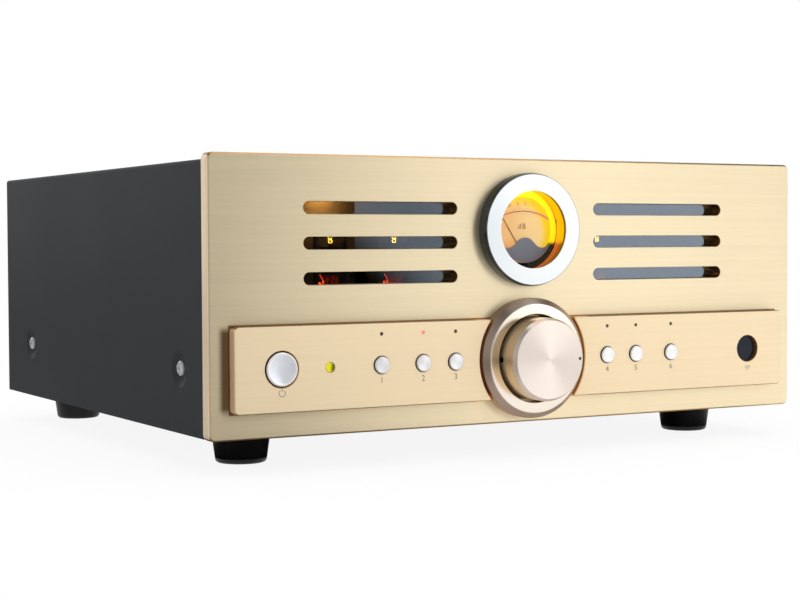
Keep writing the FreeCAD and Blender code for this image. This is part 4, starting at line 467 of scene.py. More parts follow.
def brush_plate(paint, tone, beside, drawn, gloss, side_gloss, contrast, marks):
    """Brushing of a plate, with finer lines on its outer ends."""
    paint.grain(brushed, tone, beside * (side_gloss - gloss) + gloss, contrast, drawn * 0.05 + 0.01, marks,
                BRUSH_FINENESS, drawn * BRUSH_DEPTH + SMOOTH_DEPTH)


def cut_tone(paint, node, front, cut, end, metal, cut_metal):
    """Colour of a plate with painted shade on its sides and paler painted light on its outer ends; also
    where its sides and drawn faces are.
    """
    low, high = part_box(node)
    x, y = paint.axes()[:2]
    outer = max(high.x, -low.x)
    beside = y.graded(low.y + 0.00005, low.y + 0.0004)
    ends = abs(x).graded(outer - 0.0012, outer - 0.0004) * beside
    paint.set(Metallic=ends * (END_METAL - cut_metal) + (beside * (cut_metal - metal) + metal))
    return beside.blend(front, ends.blend(cut, end)), beside, 1.0 - ends


def middle(node):
    """Middle of a node's box."""
    low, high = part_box(node)
    return (low + high) / 2


CONTROL_LINE = middle("knob_ring").z
METER_LINE = middle("meter_bezel").z
plate_gold = Paint("brushed_gold", Anisotropic=0.5, Anisotropic_Rotation=0.25)
# Painted shade deepens the plate's sides; its outer ends get paler painted light
tone, beside, drawn = cut_tone(plate_gold, "front_panel", (250, 233, 196), (200, 150, 84),
                               (250, 226, 194), 0.93, 0.97)
x, y, z = plate_gold.axes()
strip_low, strip_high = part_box("control_strip_left")
half = (strip_high.z - strip_low.z) / 2
upward = abs(z - CONTROL_LINE)
# Painted shade: a dark line on the plate round the strips' edges
strip_edge_shade = (abs(x).graded(STRIP_SHADE_NEAR - strip_low.x, STRIP_SHADE_LINE - strip_low.x)
        * upward.graded(half + STRIP_SHADE_NEAR, half + STRIP_SHADE_LINE))
plate_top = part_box("front_panel")[1].z
# Painted shade on the plate's own top front edge
bevel = z.graded(plate_top - 0.0006, plate_top - 0.0002) * y.graded(FACE + 0.0006, FACE + 0.0003)
# Painted shadow of the left strip's end on the plate beside it
strip_end_shadow = (x.graded(strip_low.x - 0.0080, strip_low.x - 0.0035)
          * x.graded(strip_low.x + 0.003, strip_low.x + 0.002)
          * upward.graded(half + 0.001, half - 0.004, 0.0, 0.85))
for share, shade_tone in ((strip_edge_shade, (150, 114, 70)), (bevel, (70, 54, 38)), (strip_end_shadow, (92, 66, 32))):
    tone = share.blend(tone, shade_tone)
contrast = (drawn * 0.11 + 0.01) * (beside * -0.8 + 1.0)
brush_plate(plate_gold, tone, beside, drawn, 0.42, 0.28, contrast, 0.05)
brushed_plate("faceplate", "front_panel", "gold_faceplate", plate_gold, PLATE_EDGE)


# Control strips. Two thinner plates with the knob's ring between them, brushed the same way and a
# little paler and more matt, held from behind by screws through the faceplate.
STRIP_EDGE = 0.0002
ROUND_CUT_END = 0.044
ROUND_CUT = 0.040
strip_gold = Paint("brushed_pale_gold", Anisotropic=0.5, Anisotropic_Rotation=0.25)
# Painted light near the ring's round cut and painted shade elsewhere on the sides; paler painted light on
# the outer ends
cut = abs(strip_gold.axes()[0]).graded(ROUND_CUT_END, ROUND_CUT).blend((132, 88, 42), (244, 178, 104))
tone, beside, drawn = cut_tone(strip_gold, "control_strip_left", (249, 227, 189), cut,
                               (244, 208, 168), 0.45, 0.5)
brush_plate(strip_gold, tone, beside, drawn, 0.48, 0.24, drawn * 0.06 + 0.01, 0.04)
for side in ("left", "right"):
    brushed_plate(f"strip_{side}", f"control_strip_{side}", "gold_strip", strip_gold, STRIP_EDGE)


# Marks on the strips. Small grey-brown print: the sign for power under its button, the numbers of
# the sources under theirs, and three waves under the remote control's window.
PRINT_LIFT = 0.00004
SIGN_DROP = 0.0137
NUMBER_DROP = 0.0092
NUMBER_HEIGHT = 0.0036
CAPITAL_SHARE = 0.7
ink = Paint("strip_print", Metallic=0.2)
ink.mottle(ink.noise(3000.0), (128, 110, 92), (166, 146, 122), 0.45, 0.6)


def curve_mesh(name, curve):
    """Plain mesh of a curve."""
    holder = bpy.data.objects.new(name, curve)
    scene.collection.objects.link(holder)
    mesh = evaluated(holder)
    bpy.data.objects.remove(holder)
    return mesh


def printed(name, words, height, place, paint, slot, backwards=False, spacing=1.0):
    """Flat printed characters, centred on a place of a face that looks to the front or to the rear."""
    curve = bpy.data.curves.new(name, "FONT")
    curve.body = words
    curve.size = height / CAPITAL_SHARE
    curve.align_x = "CENTER"
    curve.align_y = "CENTER"
    curve.space_character = spacing
    curve.resolution_u = 4
    mesh = curve_mesh(name, curve)
    standing = Matrix.Rotation(math.radians(90), 4, "X")
    facing = Matrix.Rotation(math.pi if backwards else 0, 4, "Z")
    mesh.transform(Matrix.Translation(place) @ facing @ standing)
    place_piece(add_piece(name, mesh, paint), slot)


def bent_bars(name, place, bars, paint, slot):
    """Flat printed bands; each is (centre across, centre up, radius, first angle, last angle, width)."""
    work = bmesh.new()
    for across, up, radius, first, last, width in bars:
        steps = max(1, int(abs(last - first) / 8))
        rim = []
        for step in range(steps + 1):
            angle = math.radians(first + (last - first) * step / steps)
            rim.append([work.verts.new((place[0] + across + reach * math.sin(angle), place[1],
                                        place[2] + up + reach * math.cos(angle)))
                        for reach in (radius - width / 2, radius + width / 2)])
        for (low, high), (next_low, next_high) in zip(rim, rim[1:]):
            work.faces.new((low, next_low, next_high, high))
    place_piece(add_piece(name, built_mesh(name, work), paint), slot)


print_face = STRIP_FACE - PRINT_LIFT
spot = middle("power_button")
bent_bars("power_sign", (spot.x, print_face, spot.z - SIGN_DROP),
          [(0, 0, 0.0020, 35, 325, 0.0004), (0, -0.0482, 0.05, -0.22, 0.22, 0.0020)], ink, "gold_strip")
spot = middle("remote_lens")
bent_bars("remote_waves", (spot.x, print_face, spot.z - SIGN_DROP),
          [(0, -0.0016, radius, -42, 42, 0.0004) for radius in (0.0012, 0.0024, 0.0036)], ink, "gold_strip")
for number in range(1, 7):
    spot = middle(f"source_button_{number}")
    printed(f"source_number_{number}", str(number), NUMBER_HEIGHT,
            (spot.x, print_face, spot.z - NUMBER_DROP), ink, "gold_strip")


# Knob ring. A turned aluminium collar round the volume knob with a wide polished bevel, screwed on
# from behind through the faceplate. Painted shade darkens its bevel and the inside of its hole, and
# down between the strips its bevel carries a painted reflection of their gold.
RING_FACE_RADIUS = 0.03365
RING_SHOULDER = 0.0034
RING_HOLE = 0.0274
RING_HOLE_BEVEL = 0.0004
STRIP_HALF = 0.0255
GOLD_REFLECTION_FROM = 0.0040
GOLD_REFLECTION_TO = 0.0056
ARC_LEAD = 0.0003
TURNED_STEPS = 192
SHARP_ANGLE = math.radians(32)

# Fine rings that a cutting tool leaves; the map's second direction counts metres across them
turned_lines = Grain("turned_lines", "turning")
travel = turned_lines.add("ShaderNodeUVMap", uv_map="turning").node("ShaderNodeSeparateXYZ", output="Y")
travel = travel.node("ShaderNodeCombineXYZ")
turned_lines.finish(turned_lines.noise(turned_lines.given["Fineness"], 2.0, 0.6, travel), 60.0, 3.0)


def bend_corners(corners, radii, steps=4):
    """Outline with chosen corners, as {index: radius}, turned into arcs with a short lead at each end."""
    outline = []
    for index, corner in enumerate(corners):
        size = radii.get(index, 0)
        if not size:
            outline.append(corner)
            continue
        point = Vector(corner)
        before = (Vector(corners[index - 1]) - point).normalized()
        after = (Vector(corners[(index + 1) % len(corners)]) - point).normalized()
        half = before.angle(after) / 2
        reach = size / math.tan(half)
        centre = point + (before + after).normalized() * size / math.sin(half)
        first = point + before * reach - centre
        sweep = first.angle_signed(point + after * reach - centre)
        lead = min(ARC_LEAD, size)
        outline.append(tuple(point + before * (reach + lead)))
        for step in range(steps + 1):
            outline.append(tuple(centre + Matrix.Rotation(-sweep * step / steps, 2) @ first))
        outline.append(tuple(point + after * (reach + lead)))
    return outline


def turned(name, corners, radii, centre, paint, steps=TURNED_STEPS, closed=False):
    """Piece turned about the Y line through a centre, from (radius, depth) corners, some of them rounded
    by {index: radius}; its map runs round."""
    outline = bend_corners(corners, radii)
    work = bmesh.new()
    layer = work.loops.layers.uv.new("turning")
    rings = []
    for radius, depth in outline:
        if radius < 1e-7:
            rings.append([work.verts.new((centre.x, depth, centre.z))] * steps)
            continue
        rings.append([work.verts.new((centre.x + radius * math.cos(math.tau * step / steps), depth,
                                      centre.z + radius * math.sin(math.tau * step / steps)))
                      for step in range(steps)])
    count = len(outline)
    travel = 0.0
    for index in range(count if closed else count - 1):
        near, far = rings[index], rings[(index + 1) % count]
        length = (Vector(outline[index]) - Vector(outline[(index + 1) % count])).length
        for step in range(steps):
            following = (step + 1) % steps
            patch = [(near[step], step, travel), (near[following], step + 1, travel),
                     (far[following], step + 1, travel + length), (far[step], step, travel + length)]
            if near[0] is near[1]:
                patch = [(near[0], step + 0.5, travel)] + patch[2:]
            elif far[0] is far[1]:
                patch = patch[:2] + [(far[0], step + 0.5, travel + length)]
            face = work.faces.new([corner[0] for corner in patch])
            for loop, (_, around, along) in zip(face.loops, patch):
                loop[layer].uv = (around / steps, along)
        travel += length
    bmesh.ops.recalc_face_normals(work, faces=work.faces)
    mesh = built_mesh(name, work)
    mesh.shade_smooth()
    mesh.set_sharp_from_angle(angle=SHARP_ANGLE)
    return add_piece(name, mesh, paint)


ring_metal = Paint("ring_metal", Anisotropic=0.5, Anisotropic_Rotation=0.25)
centre = middle("knob_ring")
low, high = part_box("knob_ring")
depth, z = ring_metal.axes()[1:]
# Painted shade on the bevel and a darker painted shade round the hole
wall = ring_metal.from_line(centre).graded(RING_HOLE + 0.0008, RING_HOLE + 0.0004)
beside = wall.blend((196, 174, 158), (108, 90, 74))
tone = depth.graded(low.y + 0.0001, low.y + 0.0006).blend((246, 234, 220), beside)
# Painted reflection of the strips' gold low on the bevel between them
gold_reflection = (depth.graded(low.y + GOLD_REFLECTION_FROM, low.y + GOLD_REFLECTION_TO)
        * abs(z - centre.z).graded(STRIP_HALF, STRIP_HALF - 0.002))
gloss = depth.graded(low.y, low.y + 0.0003, 0.14, 0.34)
ring_metal.grain(turned_lines, gold_reflection.blend(tone, (176, 104, 48)), gloss, 0.03, 0.03, 0.02, 3500.0, 0.000001)
ring_metal.set(Metallic=gold_reflection * -0.65 + 1.0)
ring_radius = (high.x - low.x) / 2
ring_corners = [(RING_HOLE, high.y), (RING_HOLE, low.y + RING_HOLE_BEVEL),
                (RING_HOLE + RING_HOLE_BEVEL, low.y), (RING_FACE_RADIUS, low.y),
                (ring_radius, low.y + RING_SHOULDER), (ring_radius, high.y)]
place_piece(turned("knob_collar", ring_corners, {1: 0.0001, 2: 0.0001, 3: 0.0002, 4: 0.0002}, centre,
                   ring_metal, closed=True), "ring_aluminium", "knob_ring")


# Volume knob. Turned from solid aluminium, its face cut with one fine spiral that throws bright
# fans of light, with a black index dot and a side hole for the screw that grips the shaft.
KNOB_FACE_RADIUS = 0.0241
KNOB_SHOULDER = 0.0025
KNOB_RECESS = 0.0130
KNOB_RECESS_DEPTH = 0.0060
SHAFT_RADIUS = 0.0030
SHAFT_DEPTH = 0.0150
DOT_ACROSS = 0.0222
DOT_RADIUS = 0.00105
DOT_DEPTH = 0.0006
GRIP_HOLE_RADIUS = 0.00195


def drilled(piece, name, radius, start, end):
    """Cuts a round hole between two points into a piece."""
    start, end = Vector(start), Vector(end)
    span = end - start
    work = bmesh.new()
    bmesh.ops.create_cone(work, cap_ends=True, segments=32, radius1=radius, radius2=radius,
                          depth=span.length)
    mesh = built_mesh(name, work)
    along = span.to_track_quat("Z", "Y").to_matrix().to_4x4()
    mesh.transform(Matrix.Translation((start + end) / 2) @ along)
    cutter = bpy.data.objects.new(name, mesh)
    scene.collection.objects.link(cutter)
    cut = piece.modifiers.new(name, "BOOLEAN")
    cut.object = cutter
    cut.solver = "EXACT"
    make_plain(piece)
    piece.data.set_sharp_from_angle(angle=SHARP_ANGLE)
    bpy.data.objects.remove(cutter)


knob_metal = Paint("knob_metal", Metallic=0.85, Anisotropic=0.65, Anisotropic_Rotation=0.25)
centre = middle("volume_knob")
low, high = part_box("volume_knob")
radius = (high.x - low.x) / 2
shoulder = low.y + KNOB_SHOULDER
depth = knob_metal.axes()[1]
# Painted shade on the side where it lies inside the ring
ring_shade = (knob_metal.from_line(centre).graded(radius - 0.0002, radius - 0.0005)
          * depth.graded(shoulder + 0.001, shoulder + 0.002))
# The side's warmer gold tone is a painted reflection of the plate
tone = depth.graded(shoulder, shoulder + 0.001).blend((242, 228, 218), (246, 218, 174))
gloss = depth.graded(low.y, low.y + 0.0004, 0.30, 0.28)
knob_metal.grain(turned_lines, ring_shade.blend(tone, (16, 14, 12)), gloss, 0.03, 0.03, 0.02, 5000.0, 0.000002)
recess = high.y - KNOB_RECESS_DEPTH
knob_corners = [(0, low.y), (0.008, low.y), (0.016, low.y), (KNOB_FACE_RADIUS, low.y), (radius, shoulder),
                (radius, high.y), (KNOB_RECESS, high.y), (KNOB_RECESS, recess), (SHAFT_RADIUS, recess),
                (SHAFT_RADIUS, recess - SHAFT_DEPTH), (0, recess - SHAFT_DEPTH)]
knob = turned("volume_knob_turned", knob_corners, {3: 0.0002, 4: 0.0004, 5: 0.0004}, centre, knob_metal)
grip = middle("knob_set_screw").y
drilled(knob, "dot_drill", DOT_RADIUS, (DOT_ACROSS, low.y - 0.001, centre.z),
        (DOT_ACROSS, low.y + DOT_DEPTH, centre.z))
drilled(knob, "grip_drill", GRIP_HOLE_RADIUS, (-radius - 0.001, grip, centre.z), (0, grip, centre.z))
place_piece(knob, "knob_aluminium", "volume_knob", body="volume")

dot_paint = Paint("dot_paint")
dot_paint.mottle(dot_paint.noise(4000.0), (34, 32, 32), (72, 68, 66), 0.35, 0.55)
dot_top = low.y + DOT_DEPTH * 0.35
dot_floor = low.y + DOT_DEPTH
dot_radius = DOT_RADIUS * 0.98
dot_corners = [(0, dot_top), (dot_radius, dot_top + 0.00008), (dot_radius, dot_floor), (0, dot_floor)]
dot = turned("index_dot", dot_corners, {}, Vector((DOT_ACROSS, 0, centre.z)), dot_paint, 32)
place_piece(dot, "black_screw", body="volume")


# Behind the knob. A steel shaft with a toothed wheel, the control's cast case, and the small motor
# whose brass pinion turns the wheel for the remote control.

# Even grain of cast, moulded, painted or plated surfaces
grainy = Grain("even_grain")
grainy.finish(grainy.noise(grainy.given["Fineness"], 4.0, 0.6, grainy.here()), 11.0, 4.0)


def machined(name, colour, rough, metal, fineness=2200.0, depth=0.00001, contrast=0.05, **values):
    """Fine-grained surface of a metal or moulded part that isn't drawn out one way."""
    paint = Paint(name, Metallic=metal, **values)
    paint.grain(grainy, colour, rough, contrast, 0.08, 0.10, fineness, depth)
    return paint


def dress(paint, *nodes):
    """Gives nodes of the frame their finish."""
    for node in nodes:
        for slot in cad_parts[node].material_slots:
            slot.material = paint.material


dress(machined("ground_steel", (196, 196, 198), 0.28, 1.0), "volume_shaft")
dress(machined("pinion_brass", (214, 180, 104), 0.30, 1.0), "motor_pinion")
dress(machined("cast_grey", (124, 128, 134), 0.5, 1.0, 900.0, 0.00004), "volume_pot")
dress(machined("motor_plating", (188, 190, 194), 0.32, 1.0), "volume_motor")
dress(machined("black_oxide", (30, 30, 32), 0.38, 1.0), "knob_set_screw")
dress(machined("zinc_screws", (176, 178, 176), 0.35, 1.0), "panel_screws")


# Level meter's ring and glass. A wide polished aluminium ring pressed into the faceplate, with a
# lip over a flat clear glass with a coating that mirrors next to nothing.
WINDOW_RADIUS = 0.0240
WINDOW_LIP = 0.0020
BEZEL_SHOULDER = 0.0024
BEZEL_EDGE = 0.0008
SPIGOT_RADIUS = 0.0299
SEAT_RADIUS = 0.02745
bezel_metal = Paint("bezel_metal", Metallic=1.0, Anisotropic=0.3, Anisotropic_Rotation=0.25)
centre = middle("meter_bezel")
low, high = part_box("meter_bezel")
radius = (high.x - low.x) / 2
edge = radius - BEZEL_EDGE
depth = bezel_metal.axes()[1]
# Painted shade: a darker ring at the face's outer edge and a dark painted reflection on the outer side
flat = bezel_metal.from_line(centre).graded(edge - 0.0005, edge - 0.0001)
flat = flat.blend((213, 217, 219), (120, 126, 134))
bezel_metal.grain(turned_lines, depth.graded(low.y + 0.0001, low.y + 0.0007).blend(flat, (92, 97, 104)),
                  0.22, 0.02, 0.03, 0.02, 3500.0, 0.000002)
lip = low.y + WINDOW_LIP
bezel_corners = [(WINDOW_RADIUS, low.y), (WINDOW_RADIUS, lip), (SEAT_RADIUS, lip), (SEAT_RADIUS, high.y),
                 (SPIGOT_RADIUS, high.y), (SPIGOT_RADIUS, FACE), (radius, FACE),
                 (radius, low.y + BEZEL_SHOULDER), (edge, low.y)]
place_piece(turned("meter_ring", bezel_corners, {0: 0.0002, 7: 0.0004, 8: 0.0001}, centre, bezel_metal,
                   closed=True), "bezel_aluminium", "meter_bezel")

window_glass = Paint("window_glass", IOR=1.12, Transmission_Weight=1.0, Roughness=0.0)
window_glass.mottle(window_glass.noise(140.0, 5.0), (1.0, 1.0, 1.0, 1), (0.97, 0.98, 0.97, 1))
dress(window_glass, "meter_glass")


# Inside of the meter. A see-through amber can lit by two lamps, a pale scale plate in it, a grey
# apron that hides the movement, and the black needle. The lamps' light on the can and on the plate is
# painted glow, with painted shade and painted reflections.
DIAL_PRINT_LIFT = 0.00005
SCALE_CENTRE = -0.0283
SCALE_RADIUS = 0.0400
SCALE_HALF = 29.0
RED_START = 10.0
TICK_COUNT = 23
NUMBER_REACH = 0.0046
NUMBER_SIZE = 0.0022
UNIT_SIZE = 0.0034
dial = middle("meter_dial")
dial_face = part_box("meter_dial")[0].y - DIAL_PRINT_LIFT

amber_can = Paint("amber_can", IOR=1.3, Specular_IOR_Level=0.05, Emission_Strength=0.42)
y, z = amber_can.axes()[1:]
# Painted glow above the plate's foot, with a dark band and a stud; below it painted shade, with two painted
# orange reflections
lit = (amber_can.noise(90.0) * 0.004 + z).graded(METER_LINE - 0.0078, METER_LINE - 0.0044)
glowing = y.graded(dial.y - 0.0004, dial.y + 0.0002).blend((255, 206, 0), (255, 240, 10))
glowing = abs(y - (dial.y - 0.0006)).graded(0.0006, 0.0003).blend(glowing, (120, 56, 0))
stud = amber_can.here().moved((0, 0.0014 - dial.y, -METER_LINE - 0.0052), (0, 1, 1)).length()
glowing = stud.graded(0.0010, 0.0006).blend(glowing, (50, 26, 4))
unlit = y.graded(dial.y - 0.0050, dial.y - 0.0066).blend((9, 4, 2), (176, 98, 10))
for back in (0.0026, 0.0048):
    unlit = abs(y - (dial.y - back)).graded(0.0008, 0.0004).blend(unlit, (255, 138, 62))
amber_can.glow(lit.blend(unlit, glowing))
amber_can.set(Roughness=lit * -0.4 + 0.55)
dress(amber_can, "meter_housing")

dial_paper = Paint("dial_paper", Emission_Strength=0.50)
x, z = dial_paper.axes(dial)[::2]
# Painted light over the whole plate: deeper to the left, an orange glow low down there, yellow light round
# the rim and painted shade at the foot
plate = x.graded(-0.020, 0.016).blend((240, 190, 126), (255, 222, 158))
low_glow = z.graded(-0.004, -0.014) * x.graded(0.0, -0.02)
rim = dial_paper.here(dial).moved((0.0040, 0, 0.0020), (1, 0, 1)).length().graded(0.0150, 0.0225)
shade = (x * -0.73 + z).graded(-0.0220, -0.0236)
fibre = dial_paper.noise(1800.0, 4.0)
for share, tone in ((low_glow, (255, 150, 20)), (rim, (255, 224, 0)), (shade, (22, 7, 2)),
                    (fibre.graded(0.3, 0.9, 0.0, 0.12), (214, 150, 60))):
    plate = share.blend(plate, tone)
dial_paper.glow(plate)
dial_paper.set(Roughness=fibre.graded(0.2, 0.8, 0.5, 0.65))
dress(dial_paper, "meter_dial")


def dial_ink(name, colour, glow):
    """Thin print on the lit plate, with painted glow for the plate's light that comes through it."""
    paint = Paint(name, Roughness=0.6, Emission_Strength=glow)
    paint.glow(paint.noise(700.0).graded(0.3, 0.9, 0.0, 0.3).blend(colour, (240, 180, 120)))
    return paint


brown_ink = dial_ink("brown_ink", (112, 62, 32), 0.15)
red_ink = dial_ink("red_ink", (226, 136, 120), 0.40)
unit_ink = dial_ink("unit_ink", (66, 40, 28), 0.05)


class Tool(Group):
    """Geometry tool with inputs of its own and the material."""

    def __init__(self, name, inputs):
        super().__init__(name, "Geometry", {**inputs, "Material": "Material"}, {"Geometry": "Geometry"})

    def finish(self, places, **inputs):
        """Puts copies on places, makes them real, moves them and gives them their material."""
        real = places.node("GeometryNodeInstanceOnPoints", inputs).node("GeometryNodeRealizeInstances")
        if "Place" in self.given:
            real = real.node("GeometryNodeTransform", {"Translation": self.given["Place"]})
        fill(self.ending[0], real.node("GeometryNodeSetMaterial", {"Material": self.given["Material"]}))

    def grow(self, name, paint, **values):
        """Plain mesh piece that the tool makes with these values."""
        piece = bpy.data.objects.new(name, bpy.data.meshes.new(name))
        scene.collection.objects.link(piece)
        grower = piece.modifiers.new("grower", "NODES")
        grower.node_group = self.tree
        values["Material"] = paint.material
        for item in self.tree.interface.items_tree:
            if item.in_out == "INPUT" and item.name in values:
                grower[item.identifier] = values[item.name]
        make_plain(piece)
        return piece


ticks = Tool("scale_ticks", {
    "Radius": SCALE_RADIUS, "First Angle": -SCALE_HALF, "Last Angle": SCALE_HALF, "Count": TICK_COUNT,
    "Length": 0.0018, "Width": 0.00016, "Place": (0, 0, 0)})
given = ticks.given
points = ticks.add("GeometryNodeMeshLine", {"Count": given["Count"], "Offset": (0, 0, 0)})
share = ticks.add("GeometryNodeInputIndex").math("DIVIDE", given["Count"] - 1.0)
angle = share * (given["Last Angle"] - given["First Angle"]) + given["First Angle"]
spin = ticks.add("ShaderNodeCombineXYZ", {"Y": angle.math("RADIANS")}).node("FunctionNodeEulerToRotation")
size = ticks.add("ShaderNodeCombineXYZ", {"X": given["Width"], "Y": 0.00002, "Z": given["Length"]})
lift = ticks.add("ShaderNodeCombineXYZ", {"Z": given["Length"] * 0.5 + given["Radius"]})
raised = size.node("GeometryNodeMeshCube").node("GeometryNodeTransform", {"Translation": lift})
ticks.finish(points, Instance=raised, Rotation=spin)

scale_place = (dial.x, dial_face, dial.z + SCALE_CENTRE)
for name, tick_ink, values in (
        ("tall", brown_ink, {"Count": 11, "Last Angle": RED_START - 3.0, "Length": 0.0019,
                             "Width": 0.00020}),
        ("low", brown_ink, {"Count": TICK_COUNT, "Radius": SCALE_RADIUS - 0.0020, "Length": 0.0009}),
        ("red", red_ink, {"Count": 5, "First Angle": RED_START, "Length": 0.0019, "Width": 0.00022})):
    place_piece(ticks.grow(f"scale_ticks_{name}", tick_ink, Place=scale_place, **values), "dial_paper")
for name, start, end, width, line_ink in (("scale_line", -SCALE_HALF, RED_START, 0.0005, brown_ink),
                                          ("scale_red_line", RED_START, SCALE_HALF, 0.0012, red_ink)):
    bent_bars(name, scale_place, [(0, 0, SCALE_RADIUS, start, end, width)], line_ink, "dial_paper")
printed("scale_unit", "dB", UNIT_SIZE, (dial.x - 0.0010, dial_face, dial.z + 0.0020), unit_ink,
        "dial_paper", spacing=1.3)
for number, angle in (("20", -24), ("10", -14), ("5", -5), ("3", 2), ("0", 10), ("3", 22)):
    over = angle >= RED_START
    reach = Matrix.Rotation(math.radians(angle), 3, "Y") @ Vector((0, 0, SCALE_RADIUS + NUMBER_REACH))
    printed(f"scale_{'plus' if over else 'number'}_{number}", number, NUMBER_SIZE,
            Vector(scale_place) + reach, red_ink if over else brown_ink, "dial_paper")

apron_grey = Paint("apron_grey", Specular_IOR_Level=0.3)
apron_grey.grain(grainy, (164, 173, 190), 0.45, 0.04, 0.06, 0.10, 2400.0, 0.00001)
dress(apron_grey, "meter_mask")
dress(machined("needle_black", (112, 68, 30), 0.45, 0.0), "meter_needle")
dress(machined("movement_case", (52, 52, 56), 0.45, 0.6), "meter_movement")
lamp_amber = Paint("lamp_amber", Roughness=0.3, Emission_Strength=2.5)
lamp_amber.glow(lamp_amber.noise(500.0).blend((255, 176, 60), (255, 220, 140)))
dress(lamp_amber, "meter_lamp")


# Tinted panes. Smoky acrylic sheets with a half-mirror face, stuck behind the slots; the glow of
# the tubes comes through where nothing bright is mirrored.
tinted_pane = Paint("tinted_pane", IOR=2.0, Transmission_Weight=1.0, Roughness=0.0,
                    Specular_Tint=(0.68, 0.83, 1.0, 1.0))
tinted_pane.mottle(tinted_pane.noise(300.0, 4.0), (128, 116, 110), (112, 102, 98))
dress(tinted_pane, "slot_windows")


# Buttons. Turned aluminium, the large one dished and the six small ones flat with fine rings, each
# with a flange behind the faceplate that keeps it in and a stem that works its switch.
DISH = 0.0010
DISH_RIM = 0.0015
BUTTON_CAP = 0.0050
POWER_CAP = 0.00975
BUTTON_EDGE = 0.0005
FLANGE_REACH = 0.0013
FLANGE_DEPTH = 0.0012
FLANGE_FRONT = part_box("front_panel")[1].y + 0.0001
POWER_STEM = 0.0030
SOURCE_STEM = 0.0025
SOURCE_PLUNGER = 0.0017
SHOULDER_DEPTH = 0.0023


def edge_tone(paint, node, start, face, side):
    """Colour of a button whose turned side, from a depth on, carries painted shade deeper in tone than its
    face.
    """
    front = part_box(node)[0].y + start
    return paint.axes()[1].graded(front, front + 0.0005).blend(face, side)


def stemmed(high, cap, cap_outline, stems):
    """Outline of a button: its cap, the flange behind the faceplate and its stepped stem."""
    flange = cap + FLANGE_REACH
    outline = [*cap_outline, (cap, FLANGE_FRONT), (flange, FLANGE_FRONT),
               (flange, FLANGE_FRONT + FLANGE_DEPTH)]
    for radius, end in stems:
        outline += [(radius, outline[-1][1]), (radius, end)]
    return [*outline, (0, high.y)]


button_metal = Paint("button_metal", Metallic=0.7, Anisotropic=0.6, Anisotropic_Rotation=0.25)
# Painted shade on the small buttons' turned sides
tone = edge_tone(button_metal, "source_button_1", BUTTON_EDGE, (244, 243, 244), (84, 66, 46))
button_metal.grain(turned_lines, tone, 0.28, 0.01, 0.01, 0.02, 3000.0, 0.0000002)
power_metal = Paint("power_button_metal", Metallic=0.5)
dish_edge = POWER_CAP - DISH_RIM
# Painted highlight: the rim round the dish whiter than the dish, and painted shade on the side
dished = power_metal.from_line(middle("power_button")).graded(dish_edge - 0.0004, dish_edge + 0.0002)
tone = edge_tone(power_metal, "power_button", DISH + 0.0001, dished.blend((232, 235, 242), (255, 255, 255)),
                 (96, 78, 56))
power_metal.grain(grainy, tone, 0.30, 0.03, 0.06, 0.05, 1500.0, 0.000003)

low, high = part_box("power_button")
dish_outline = [(0, low.y + DISH), (0.003, low.y + DISH * 0.93), (0.006, low.y + DISH * 0.70),
                (dish_edge, low.y + DISH / 4), (POWER_CAP - DISH_RIM / 2, low.y),
                (POWER_CAP, low.y + DISH_RIM / 2)]
corners = stemmed(high, POWER_CAP, dish_outline, [(POWER_STEM, high.y)])
place_piece(turned("power_button_turned", corners, {3: 0.0003, 4: 0.0002, 5: 0.0003},
                   middle("power_button"), power_metal, 128),
            "button_aluminium", "power_button", body="power")
for number in range(1, 7):
    node = f"source_button_{number}"
    low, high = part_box(node)
    cap_outline = [(0, low.y), (0.0022, low.y), (BUTTON_CAP - BUTTON_EDGE, low.y),
                   (BUTTON_CAP, low.y + BUTTON_EDGE)]
    stems = [(SOURCE_STEM, FLANGE_FRONT + SHOULDER_DEPTH), (SOURCE_PLUNGER, high.y)]
    corners = stemmed(high, BUTTON_CAP, cap_outline, stems)
    place_piece(turned(f"{node}_turned", corners, {2: 0.0002, 3: 0.0002}, middle(node), button_metal, 72),
                "button_aluminium", node, body=f"source_{number}")


# Lights of the strip. A clear yellow-green lens for power, and six pin-sized pipes over the source
# buttons, of which the second is lit red.
power_light = Paint("power_light", IOR=1.5, Coat_Weight=0.6, Emission_Strength=0.32)
place = power_light.here(middle("power_led"))
facet = power_light.add("ShaderNodeTexVoronoi", {"Vector": place, "Scale": 700.0}, "Distance")
slope = facet * 0.0012 + power_light.axes(middle("power_led"))[0]
dimmed = slope.graded(-0.0008, 0.0022).blend((206, 200, 14), (84, 84, 4))
hot_spot = place.moved((0.0008, 0, -0.0006)).length().graded(0.0013, 0.0004)
power_light.glow(hot_spot.blend(dimmed, (250, 255, 130)))
power_light.set(Roughness=facet.graded(0.0, 1.0, 0.08, 0.25))
dress(power_light, "power_led")

pin_light = Paint("pin_light", IOR=1.5, Emission_Strength=1.0)
lit = abs(pin_light.axes()[0] - middle("source_button_2").x).graded(0.004, 0.003)
clouded = pin_light.noise(1500.0)
pin_light.set(Base_Color=lit.blend((78, 62, 48), (255, 90, 90)),
              Roughness=clouded.graded(0.2, 0.8, 0.15, 0.3),
              Emission_Color=(lit * clouded).blend((0, 0, 0), (255, 150, 140)))
dress(pin_light, "source_leds")


# Receiver window and front board. A dark violet-tinted lens set back in the strip; behind the
# faceplate stands the board with the switches, the lights and the receiver.
dark_lens = Paint("dark_lens", IOR=1.4, Specular_IOR_Level=0.3)
dark_lens.mottle(dark_lens.noise(60.0), (22, 27, 34), (36, 42, 52), 0.06, 0.14, limits=(0.3, 0.7))
dress(dark_lens, "remote_lens")

